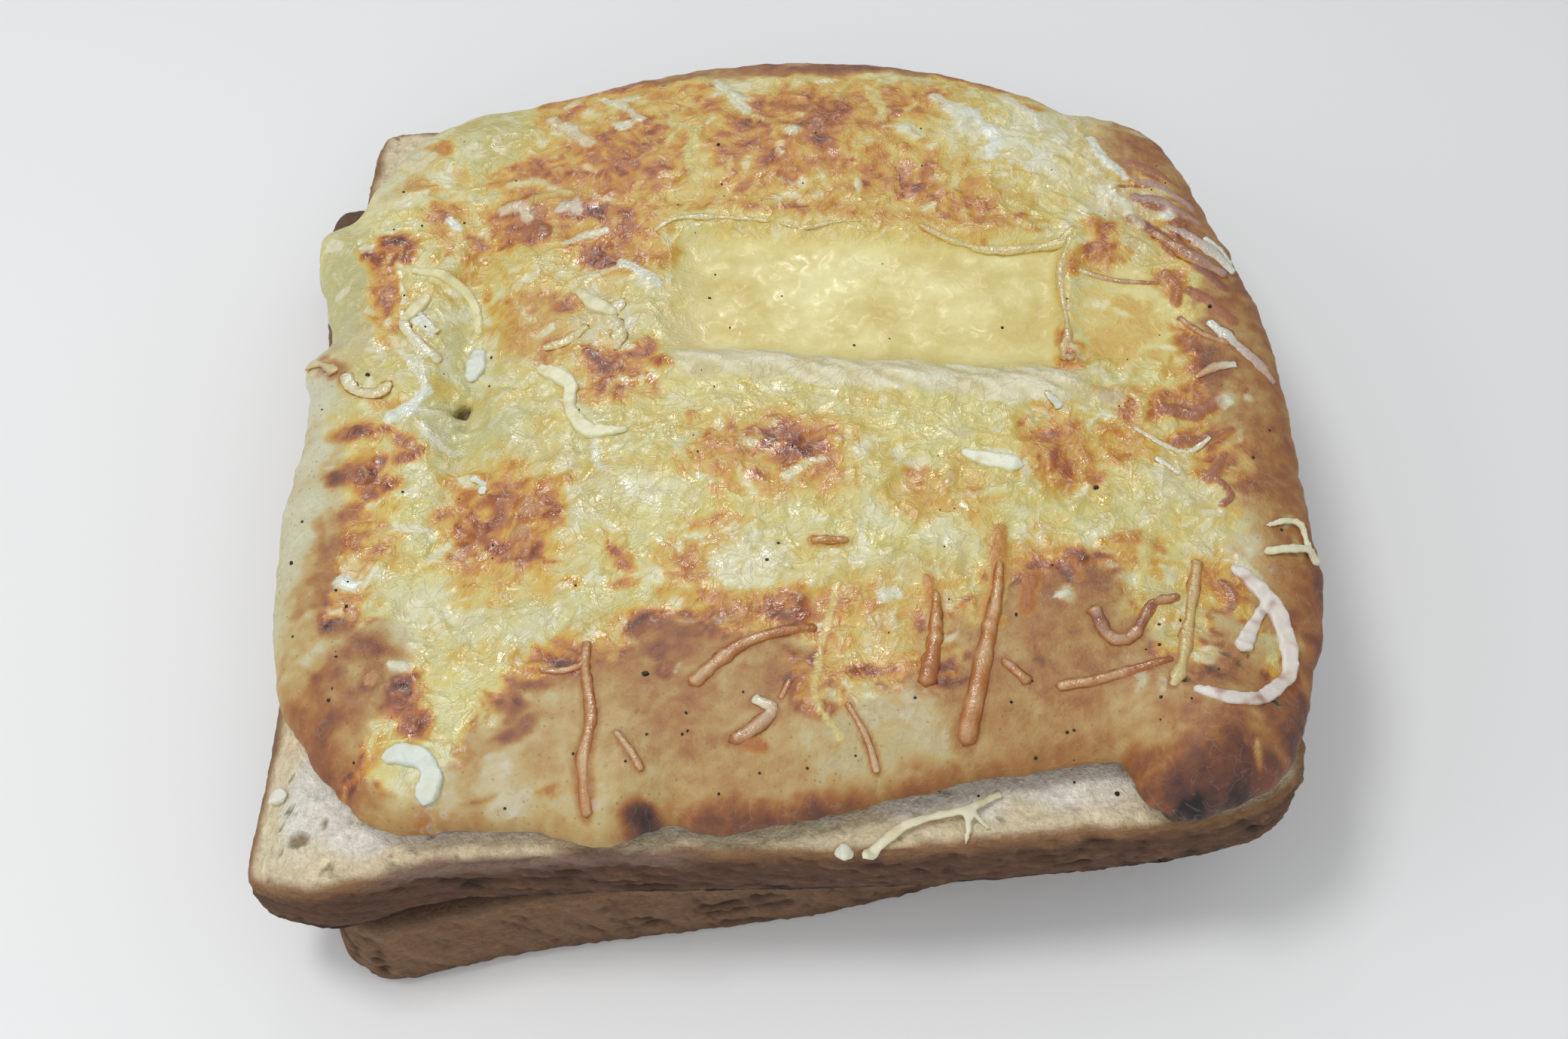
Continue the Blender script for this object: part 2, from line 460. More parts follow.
palePatches = [
    (-29, 51, 2.2, 1.7, 0.9), (-26.5, 54.5, 1.7, 1.2, 0.8, 20), (-21.5, 51, 1.8, 1.2, 0.8),
    (-20, 57, 2, 1.3, 0.7), (-42, 47, 2, 2, 0.6), (-5, 58, 3.6, 3.6, 0.7), (3, 48.5, 1.4, 1, 0.8),
    (1.5, 46.3, 1.2, 0.8, 0.8), (13.5, 46.5, 2, 1.5, 0.7), (19, 48.5, 1.7, 1.2, 0.7),
    (27, 53, 2.4, 1.8, 0.9), (28, 48, 2.2, 2, 0.8), (30, 44, 1.9, 1.6, 0.8), (33.5, 42, 2, 1.6, 0.7),
    (41.5, 42, 5.5, 6, 0.45), (35, 50, 3, 3, 0.5), (-17, 20.5, 1.8, 1.2, 0.7), (-19, 21.5, 1.5, 1, 0.7),
    (-50.5, -28, 2.2, 1.4, 0.85), (-47.5, -27, 3, 2, 0.7), (-51.5, -32.5, 1.6, 1.1, 0.7),
    (-43.5, -39.5, 1.6, 1.3, 0.7), (-31.5, -52.8, 3.8, 2.2, 0.6, 15), (-30, -56.4, 4, 1.6, 0.6, 8),
    (13.5, -31, 1.7, 1.1, 0.85, 10), (6, -44.5, 1.4, 1.2, 0.8), (33.5, -32, 1.3, 1.1, 0.95),
    (37.5, -16, 1.4, 1.1, 0.7), (37.5, -24.5, 1.4, 1.1, 0.6), (-3.5, -25.4, 4.4, 5.2, 0.8, 10),
    (30.5, -23.5, 3, 2.8, 0.45), (8, -26, 2, 3, 0.5), (12, -36, 3.6, 3.4, 0.55), (13, -47, 6, 3.4, 0.55),
    (-20, -57, 3, 2, 0.5), (-37.3, -12, 1.6, 0.9, 1, -40), (-3, -7.8, 1.1, 1.3, 0.9),
    (2.5, -12.4, 2.6, 0.9, 1, 30), (-58.5, -16, 2.6, 15, 0.45), (50, -20, 8, 4, 0.45),
    (28, -10.5, 2.6, 1.2, 0.9, -20), (60, 11, 2.2, 2.6, 0.5, 30), (57, -2.8, 1.5, 1.3, 0.8),
    (60, -2, 1.2, 1, 0.7), (42.8, -1.4, 1.8, 1.6, 0.5), (49, -41, 1.6, 1.3, 0.9), (46, -27.5, 3.4, 3, 0.4),
    (-38, 9, 2.4, 4, 0.55), (-47.5, 9.5, 2.4, 3.4, 0.7, 45), (-8, 27, 2, 1.3, 0.6), (13, 24, 5, 2.6, 0.35),
    (23, -16, 4, 3, 0.3), (-41, -33, 4.6, 5, 0.45), (-22, -6, 6, 4, 0.35), (-28, 38, 4, 3.4, 0.6, 20),
    (-20, 46, 4, 3, 0.4), (-3, 46, 4, 3, 0.42), (12, 46, 4, 3, 0.3), (-3, -34, 4.4, 3.4, 0.3),
    (12, -10, 4, 3, 0.34), (32, -36, 8, 4, 0.22), (31, -51, 12, 3, 0.26, 4), (-52, -50, 4, 4, 0.3),
    (36, -51, 9, 3, 0.3, 4), (-52, -27, 3, 4, 0.4), (4, 54, 4, 3, 0.26), (-60.5, 30, 1.6, 1.4, 1),
    (-38.6, -55, 4.6, 4.4, 0.62), (-36, -50.6, 3, 3, 0.45), (-59.4, 4, 3, 8, 0.62), (54, -25, 4.4, 4, 0.6),
    (59.6, -28, 3, 5, 0.5), (61, 28, 2, 5, 0.4, 20),
]

# the sunken pocket of melted cheese
pocket = {
    "middle": (11.8, 17.2), "half": (26.0, 10.8), "turn": -4, "edge": 6.0, "depth": 1.2, "leftEnd": (-18, -6),
}


def pocketShare(x, y, edge):
    c, s = math.cos(math.radians(pocket["turn"])), math.sin(math.radians(pocket["turn"]))
    offX, offY = x - pocket["middle"][0], y - pocket["middle"][1]
    outside = np.maximum(
        np.abs(offX * c + offY * s) - pocket["half"][0], np.abs(offY * c - offX * s) - pocket["half"][1]
    )
    return smoothstep(0.5 - outside / edge) * smoothstep(x, *pocket["leftEnd"])


raiseField(pale, palePatches, 0.45, 0.8)


def sowSpots(field, look, seed):  # small ragged spots, at random, where the cheese is
    rng = np.random.default_rng(seed)
    for _ in range(look["count"]):
        x, y = rng.uniform(-62, 64), rng.uniform(-56, 66)
        wide, narrow = rng.uniform(*look["long"]), rng.uniform(*look["short"])
        turn, amount = rng.uniform(0, 180), rng.uniform(*look["amount"])
        if readCanvas(skin, x, y) > rng.uniform(0.2, 1.15) or pocketShare(x, y, 3) > 0.3:
            continue
        if look["near"] and readCanvas(toast, x, y) < rng.uniform(0, 0.3):
            continue
        cut, mask = ovalMask(x, y, wide, narrow, turn, 0.5, 0.8)
        field[cut] = np.maximum(field[cut], amount * mask)


paleSpots = {"count": 620, "long": (0.9, 2.6), "short": (0.45, 1.0), "amount": (0.25, 0.85), "near": False}
toastSpots = {"count": 420, "long": (0.8, 2.4), "short": (0.35, 0.8), "amount": (0.3, 0.8), "near": True}
sowSpots(pale, paleSpots, 301)
sowSpots(toast, toastSpots, 302)

greenPatches = [
    (-58, 21, 5, 11, 1), (-40, 49, 5.4, 7, 0.55), (-39.6, 31, 2.2, 12, 0.7), (-58.5, -16, 3, 18, 0.5),
    (-38, -3, 6, 5, 0.4), (-27, -32, 12, 6, 0.3), (-57, 4, 5, 5, 0.6),
]
raiseField(green, greenPatches, 0.25, 0.9)

smooth = pocketShare(warpX * 0.5 + planX * 0.5, warpY * 0.5 + planY * 0.5, 3.4)
raiseField(smooth, [(46.5, 12.5, 6.5, 8.5, 0.8)], 0.2, 0.5)  # a second smooth place, right of the pocket

# grated shreds that melted into the layer: each raises a low line and is paler or browner than its place
shreds = {"count": 1350, "length": (4, 18), "radius": (0.45, 1.15), "rise": (0.14, 0.5)}
shredTaper = (0.6, 0.9, 1, 1, 1, 1, 0.85, 0.55)
toastedShreds = {"count": 1500, "length": (2, 6), "radius": (0.34, 0.62), "rise": (0.15, 0.45)}


def sowShreds(shreds, seed, toasted):
    rng = np.random.default_rng(seed)
    for _ in range(shreds["count"]):
        x, y = rng.uniform(-62, 64), rng.uniform(-56, 64)
        heading = rng.uniform(0, math.pi)
        bend = rng.normal(0, 0.22)
        length = rng.uniform(*shreds["length"])
        radius = rng.uniform(*shreds["radius"])
        rise = rng.uniform(*shreds["rise"])
        tone = rng.uniform(-1, 1)
        chance = rng.uniform()
        share = float(readCanvas(skin, x, y))
        if float(readCanvas(smooth, x, y)) > 0.3:
            continue
        if share > 0.5 or float(readCanvas(toast, x, y)) < 0.3 if toasted else chance < 0.9 * share:
            continue
        run = [(x, y)]
        steps = len(shredTaper) - 1
        for _ in range(steps):
            heading += bend
            x, y = run[-1]
            run.append((x + math.cos(heading) * length / steps, y + math.sin(heading) * length / steps))
        cut, near, along = runField(np.column_stack([run, radius * np.array(shredTaper)]), 1.3)
        crown = np.sqrt(np.clip(1 - near**2, 0, 1))
        solid = smoothstep(1.25 - near, 0, 0.5)
        shredTone[cut] += (tone * crown - shredTone[cut]) * solid * 0.85
        shredRise[cut] = np.maximum(shredRise[cut] * (1 - 0.4 * solid), rise * crown)


sowShreds(shreds, 5, False)
sowShreds(toastedShreds, 6, True)
calm = (1 - smooth) * (1 - 0.8 * skin)
relief += 0.8 * shredRise * (calm + 0.12 * skin)
print("shreds sown")

# browning runs from pale to burnt along these tones
cheeseBrowning = {
    0.06: (210, 197, 124), 0.2: (210, 182, 90), 0.36: (206, 162, 66), 0.52: (198, 138, 52),
    0.7: (182, 112, 46), 0.9: (160, 88, 42), 1.2: (132, 68, 38), 1.6: (92, 46, 32),
}
skinBrowning = {
    0.06: (198, 184, 140), 0.2: (192, 166, 110), 0.36: (182, 146, 88), 0.55: (168, 118, 62),
    0.75: (150, 93, 50), 0.98: (118, 70, 48), 1.25: (84, 52, 44), 1.6: (28, 17, 18),
}
burntLevel = 1.6
baseTones = {
    "cheese": (210, 200, 126), "skin": (192, 177, 126), "green": (184, 181, 126), "pocket": (234, 224, 158),
    "pocketRim": (206, 184, 100), "paleGreen": (190, 194, 172),
}
tints = {
    "honey": (210, 176, 72), "straw": (210, 198, 118), "milk": (222, 221, 194), "mint": (194, 197, 156),
    "blush": (194, 164, 126), "tan": (174, 140, 94), "oat": (198, 182, 144), "crumb": (206, 194, 172),
    "olive": (180, 172, 116),
}
tintPatches = [  # x, y, half widths, tint, how much of it, and its turn where it has one
    (10, 40, 28, 10, "honey", 0.9, -6), (-27, 40, 13, 13, "honey", 0.75), (-8, 56, 14, 7, "blush", 0.4),
    (24, 36, 9, 3, "honey", 0.6, -22), (8, 32, 16, 3, "honey", 0.8, -3), (2, -11, 12, 7, "honey", 0.5),
    (38, 46, 12, 9, "milk", 0.45, -30), (-44, 26, 4, 12, "milk", 0.4), (-28, 14, 8, 8, "blush", 0.7),
    (-53, 18, 4, 9, "olive", 0.5), (-51, 42, 5, 8, "milk", 0.6, -20), (-53, 49, 3.4, 3.4, "crumb", 0.9),
    (48, 47, 6, 7, "blush", 0.5), (0, -9, 12, 8, "honey", 0.45), (36, -9, 8, 8, "honey", 0.6),
    (-22, -26, 16, 8, "straw", 0.5, -8), (-36, -33, 10, 7, "milk", 0.35), (6, -32, 14, 6, "honey", 0.5),
    (18, -36, 10, 8, "tan", 0.45), (30, -36, 6, 10, "tan", 0.5), (44, 12, 8, 10, "straw", 0.6),
    (-40, -2, 8, 6, "mint", 0.5), (-16, -2, 14, 5, "straw", 0.5), (22, -9, 12, 6, "straw", 0.5),
    (10, -18, 14, 6, "straw", 0.5), (-51, -6, 7, 7, "mint", 0.4), (-24, -52, 9, 6, "blush", 0.5),
    (6, -50, 14, 6, "tan", 0.3), (-34, -55, 4, 5, "milk", 0.4), (-12, -42, 9, 6, "tan", 0.4),
    (50, -36, 9, 9, "tan", 0.4), (56, 6, 6, 12, "honey", 0.4), (51, 32, 7, 8, "blush", 0.6),
    (53, -10, 7, 8, "blush", 0.5), (-10, 14, 4, 8, "blush", 0.5), (24, -49.5, 15, 2.6, "oat", 0.7, 5),
    (-4, -54, 12, 2.6, "oat", 0.5), (-30, -16, 9, 9, "blush", 0.35), (-59.6, -6, 4, 24, "milk", 0.6),
    (57, -27, 6, 6, "milk", 0.6), (-53, 17, 4, 10, "blush", 0.5), (-24, 46, 8, 8, "honey", 0.6),
]


def spread(field, reach):  # evened out over the reach, twice in each direction
    count = int(reach / canvasStep)
    far = 2 * count + 1
    for axis in (0, 0, 1, 1):
        padded = np.pad(field, [(count + 1, count) if k == axis else (0, 0) for k in (0, 1)], mode="edge")
        summed = np.cumsum(padded, axis=axis)
        length = summed.shape[axis]
        ahead = np.take(summed, range(far, length), axis)
        field = (ahead - np.take(summed, range(length - far), axis)) / far
    return field


browningLook = {
    "limit": 1.08, "bend": 0.72,  # patches on cheese level off towards the limit
    "front": (0.24, 36, 50), "right": (0.16, 30, 52), "back": (0.14, 40, 56),  # share, from and to
    "rimWidth": 3.4, "halo": 0.36, "haloReach": 1.8, "border": 0.5,
}


def blendIn(field, tone, share):
    field += (np.asarray(tone, float) - field) * share


def paintBrowning(fine, middling, wide):
    look = browningLook
    soft = look["limit"] * (1 - np.exp(-toast / look["bend"]))
    soft = soft + (toast - soft) * np.clip(skin, 0, 1) * smoothstep(-planY, 43, 50)
    browned = soft * (0.92 + (0.2 * fine + 0.3 * middling) * (1 - 0.5 * skin))
    browned += (1 - skin) * (1 - smooth) * (0.02 + 0.1 * wide + 0.14 * middling + 0.06 * fine)
    browned += skin * (0.12 + 0.1 * wide + 0.17 * middling + 0.14 * fine)
    sides = zip(("front", "right", "back"), (-planY, planX, planY))
    rimBrowning = sum(look[side][0] * smoothstep(along, *look[side][1:]) for side, along in sides)
    browned += skin * rimBrowning * smoothstep(look["rimWidth"] - rimward, 0, look["rimWidth"])
    halo = np.clip(spread(toast, look["haloReach"]), 0, 1)
    browned += look["halo"] * (1 - smooth) * (1 - 0.8 * skin) * halo
    browned *= 1 + 0.6 * np.clip(shredTone, -1, 0.6) * (1 - 0.9 * skin)
    edge = smoothstep(middling + 0.5 * fine, -0.3, 0.4)
    browned += look["border"] * (4 * skin * (1 - skin) * smoothstep(-planY, 16, 30) * edge)
    return np.clip(browned * (1 - 0.7 * np.clip(pale, 0, 1)), 0, burntLevel)


def paintLayer():
    fine = roughNoise(planX, planY, 1.3, 40, 3)
    middling = roughNoise(planX, planY, 4.5, 50, 3)
    clouds = roughNoise(warpX, warpY, 9, 56, 3)
    wide = gradientNoise(planX, planY, 15, 60)
    browned = paintBrowning(fine, middling, wide)
    white = 0.85 * pale * (0.9 + 0.3 * fine)
    white = white + calm * (0.3 * np.maximum(-shredTone, 0) + 0.14 * np.maximum(middling, 0))
    white = np.clip(white * (1 - 0.55 * np.clip(toast, 0, 1)), 0, 1)
    skinShare = skin[..., None]
    ground = np.array(baseTones["cheese"], float)
    ground = ground + (np.array(baseTones["skin"], float) - baseTones["cheese"]) * skinShare
    swing = 0.04 * wide + 0.05 * middling + 0.03 * fine - 0.05 * shredTone
    ground = ground * (1 + swing * (1 - 0.5 * skin))[..., None]
    for x, y, halfX, halfY, tint, amount, *turn in tintPatches:
        cut, mask = ovalMask(x, y, halfX, halfY, sum(turn), 0.6, 1.4)
        blendIn(ground[cut], tints[tint], (amount * mask)[..., None])
    uneven = 1.3 * middling + 0.9 * clouds + 0.4 * shredTone
    gilded = np.clip(uneven, 0, 1)[..., None] * (1 - 0.7 * skin - 0.5 * smooth)[..., None]
    milky = np.clip(-uneven, 0, 1)[..., None] * (1 - 0.7 * skin - 0.3 * smooth)[..., None]
    ground += (np.array(tints["honey"], float) - ground) * 0.62 * gilded
    ground += (np.array(tints["milk"], float) - ground) * 0.7 * milky
    greenShare = np.clip(green * (0.8 + 0.3 * middling), 0, 1)[..., None]
    ground += (np.array(baseTones["green"]) - ground) * greenShare * (1 - skinShare)
    ground += (np.array(baseTones["paleGreen"]) - ground) * greenShare * skinShare
    brightness = np.clip(0.6 + 0.4 * middling + 0.7 * clouds + 0.3 * wide + 0.2 * pale, 0, 1)[..., None]
    rimTone, middleTone = (np.array(baseTones[name]) for name in ("pocketRim", "pocket"))
    pocketTone = rimTone * (1 - brightness) + middleTone * brightness
    blendIn(ground, pocketTone, smooth[..., None])
    return ground, browned, white


tones = {
    "ivory": (220, 217, 188), "straw": (212, 196, 122), "cream": (212, 200, 148), "gold": (204, 172, 94),
    "amber": (192, 130, 54), "rust": (170, 104, 50), "brick": (158, 92, 48), "pinkish": (186, 138, 88),
    "rose": (160, 102, 70), "plum": (132, 84, 68), "mauve": (176, 146, 136), "skin": (196, 176, 140),
    "white": (222, 226, 212),
}

# melted strands that stand out of the layer
strandScale = 0.85
strandGlint = (204, 172, 130)
strandGlaze = (162, 84, 30)
firm = {"flat": 0.5, "lift": 0.0, "uneven": 0.1}
ribbon = {"flat": 0.2, "lift": 0.1, "uneven": 0.24, "cover": 0.62}
thread = {"flat": 0.5, "lift": -0.15, "steps": 7, "uneven": 0.35, "cover": 0.5, "brown": 0.25}
sunken = {"flat": 0.6, "lift": -0.25}
film = {"flat": 0.34, "lift": -0.1, "uneven": 0.18, "cover": 0.75}
meltedStrands = [  # how it lies, the tones from end to end, and points of x, y and radius
    (firm, "pinkish", "pinkish", (-22, -36.5, 0.7), (-22, -40, 0.75), (-21.5, -43, 0.8), (-21, -47, 0.85),
     (-21.5, -52, 0.9), (-21, -58.2, 0.8)),
    (firm, "pinkish", "pinkish", (-27, -40.2, 0.6), (-24.5, -40.4, 0.6), (-22, -39.6, 0.6)),
    (firm, "skin", "pinkish", (-18, -49, 0.45), (-16.4, -51.6, 0.55), (-15, -54, 0.5)),
    (firm, "rust", "pinkish", (4.5, -35, 0.8), (0, -35.8, 0.9), (-4, -37.5, 1), (-7, -40, 1.15),
     (-9.5, -42.5, 1.15)),
    (firm, "rust", "rust", (1.5, -42.5, 0.5), (0.5, -45, 0.5)),
    (firm, "ivory", "rose", (-2.5, -45, 0.7), (-0.5, -46.6, 1), (-3, -49.2, 1.1), (-5, -50.2, 1)),
    (firm, "amber", "rust", (18.8, -31, 0.5), (18.6, -34.6, 0.9), (18.2, -38, 1.1), (17, -43.5, 1.3)),
    (firm, "amber", "rust", (26.6, -27, 0.5), (25.6, -33, 1), (24.5, -37, 1.2), (22.5, -45, 1.25),
     (21, -50.3, 1.35)),
    (firm, "pinkish", "skin", (8, -46, 0.45), (10, -50, 0.5), (11, -53.5, 0.5)),
    (firm, "brick", "pinkish", (26, -40.5, 0.7), (28.5, -43.3, 0.9)),
    (firm, "pinkish", "brick", (32, -44, 0.8), (36, -43.5, 0.85), (40, -42.5, 0.8), (45, -41, 0.6)),
    (firm, "rose", "plum", (47, -32, 0.6), (44, -33, 0.8), (41.5, -37, 0.9), (39.5, -38, 1.1),
     (38, -37, 1.1), (37, -34, 1)),
    (sunken, "gold", "cream", (50, -27, 0.8), (48, -35, 0.9), (46, -42, 0.9), (44.5, -45, 0.7)),
    (ribbon, "white", "white", (47, -11.5, 0.5), (49.5, -14, 0.5)),
    (ribbon, "ivory", "ivory", (45, -6.5, 0.4), (48, -9, 0.5), (51, -10.5, 0.55), (54, -8.5, 0.4)),
    (film, "white", "mauve", (56.8, 11, 0.8), (59, 8, 1.2), (61.8, 4.8, 1.2), (64, 2, 0.9)),
    (film, "pinkish", "white", (53.6, 1.2, 0.6), (56.4, 3, 0.9), (59, 3.6, 0.8)),
    (ribbon, "white", "white", (34.5, -1, 0.6), (36, -2.8, 0.7)),
    (ribbon, "ivory", "ivory", (-49.3, 16.2, 0.6), (-48.4, 13, 0.8), (-46.4, 10.2, 1), (-43.7, 7.6, 1)),
    (ribbon, "white", "ivory", (-47, 16, 0.5), (-44.4, 12.4, 0.7)),
    (ribbon, "ivory", "cream", (-55.2, 5, 0.9), (-54, 2.6, 1), (-51, 1.4, 1), (-49.3, 3.2, 0.9)),
    (ribbon, "white", "white", (-37.6, -11.2, 0.8), (-36, -12.6, 0.7), (-36.2, -14, 0.7)),
    (ribbon, "cream", "cream", (-61.2, 9.4, 1), (-59, 8.2, 1.1), (-57, 6.4, 1)),
    (firm, "amber", "amber", (4.5, -23.3, 0.6), (8.5, -23.3, 0.6)),
    (ribbon, "ivory", "cream", (-20, 17.6, 0.9), (-21.5, 14.4, 1.1), (-20.2, 12, 1.2), (-20.6, 9, 0.9)),
    (ribbon, "cream", "cream", (-30, 9.4, 0.8), (-27, 10.6, 1), (-24.6, 13, 0.8)),
    (film, "rose", "mauve", (51.6, 27.4, 0.7), (54.4, 24.4, 1.2), (57.2, 21.8, 1.3), (60, 19.8, 1)),
    (film, "mauve", "white", (53.6, 29, 0.7), (56.6, 26.8, 1.1), (59.4, 24, 1.2), (61.4, 21.2, 1)),
    (film, "white", "white", (58.6, 27.2, 0.6), (60.4, 25, 0.9), (61.4, 22.6, 0.8)),
    (sunken, "cream", "rose", (41, 21, 0.5), (46, 19, 0.6), (51, 18.4, 0.5)),
    (sunken, "rose", "pinkish", (53, 12, 0.5), (55.4, 9, 0.6), (58.6, 7.2, 0.6)),
    (thread, "ivory", "cream", (-16, 30, 0.4), (-13, 32, 0.6), (-8, 32.5, 0.5), (-4, 32, 0.4),
     (0, 31.5, 0.3)),
    (thread, "cream", "cream", (1, 31.3, 0.3), (4, 30.3, 0.4), (8, 31, 0.4), (12, 31.2, 0.3)),
    (thread, "cream", "cream", (20, 30, 0.4), (25, 27.4, 0.8), (30, 26, 0.8), (38.5, 26.6, 0.9),
     (41, 28.8, 0.6)),
    (thread, "cream", "skin", (40.5, 27, 0.7), (39, 23, 0.9), (38.3, 19, 0.8), (38.3, 10, 0.8),
     (37.4, 6, 0.9), (38.4, 5, 0.7)),
]


def glowAlong(points):  # the browned oil round a strand
    run = smoothRun([(x, y, radius * strandScale) for x, y, radius in points], 4)
    cut, near, along = runField(run, 3.2)
    glow = 0.62 * smoothstep(2.6 - near - 0.7 * ragged[cut], 0, 1.8) * np.maximum(skin[cut], 0.3)
    browned[cut] = np.maximum(browned[cut], glow)


ground, browned, white = paintLayer()
for _, _, _, *points in meltedStrands:
    glowAlong(points)
overTone = ground.copy()  # tones of single strands and lumps; overShare is how far they cover
relief += 0.1 * roughNoise(planX, planY, 1.6, 70, 3) * calm + 0.4 * roughNoise(planX, planY, 7, 75, 2) * calm
relief += 0.03 * gradientNoise(planX, planY, 1.4, 77) * skin + 0.1 * gradientNoise(planX, planY, 6, 78) * skin
relief += 0.08 * gradientNoise(planX, planY, 5, 79) * smooth
relief += 0.3 * np.clip(browned - 0.5, 0, 0.6) * roughNoise(planX, planY, 1.2, 80, 2) * (1 - skin)
shine = 0.66 - 0.44 * skin - 0.28 * smooth - 0.2 * smoothstep(planY, 28, 44) + 0.12 * shredTone * calm
print("layer painted")


def cover(cut, tone, share):
    left = overShare[cut] * (1 - share)
    total = left + share
    overShare[cut] = total
    mixed = overTone[cut] * left[..., None] + np.asarray(tone, float) * share[..., None]
    total = total[..., None]
    overTone[cut] = np.where(total > 1e-6, mixed / np.maximum(total, 1e-6), overTone[cut])


strokeHalo = 1.9  # in radii, out to where a rim's tone fades


def stroke(points, tone, rise, rimTone=None, strength=1.0, raggedness=0.25):
    run = smoothRun(points, 4)
    cut, near, along = runField(run, strokeHalo + raggedness)
    near = np.maximum(near + raggedness * ragged[cut] * 1.5, 0)
    crown = np.sqrt(np.clip(1 - near**2, 0, 1))
    if rimTone is not None:
        cover(cut, rimTone, smoothstep(strokeHalo - near, 0, strokeHalo - 0.8) * strength * 0.75)
    body = smoothstep(1.15 - near, 0, 0.45) * strength
    cover(cut, tone, body)
    relief[cut] += (rise * crown - 0.3 * relief[cut]) * np.minimum(body + 0.01, 1)


def hollow(x, y, radius, depth, tone, strength):
    cut, mask = ovalMask(x, y, radius, radius, 0, 0.15, 0.8)
    relief[cut] -= depth * mask
    cover(cut, tone, mask * strength)


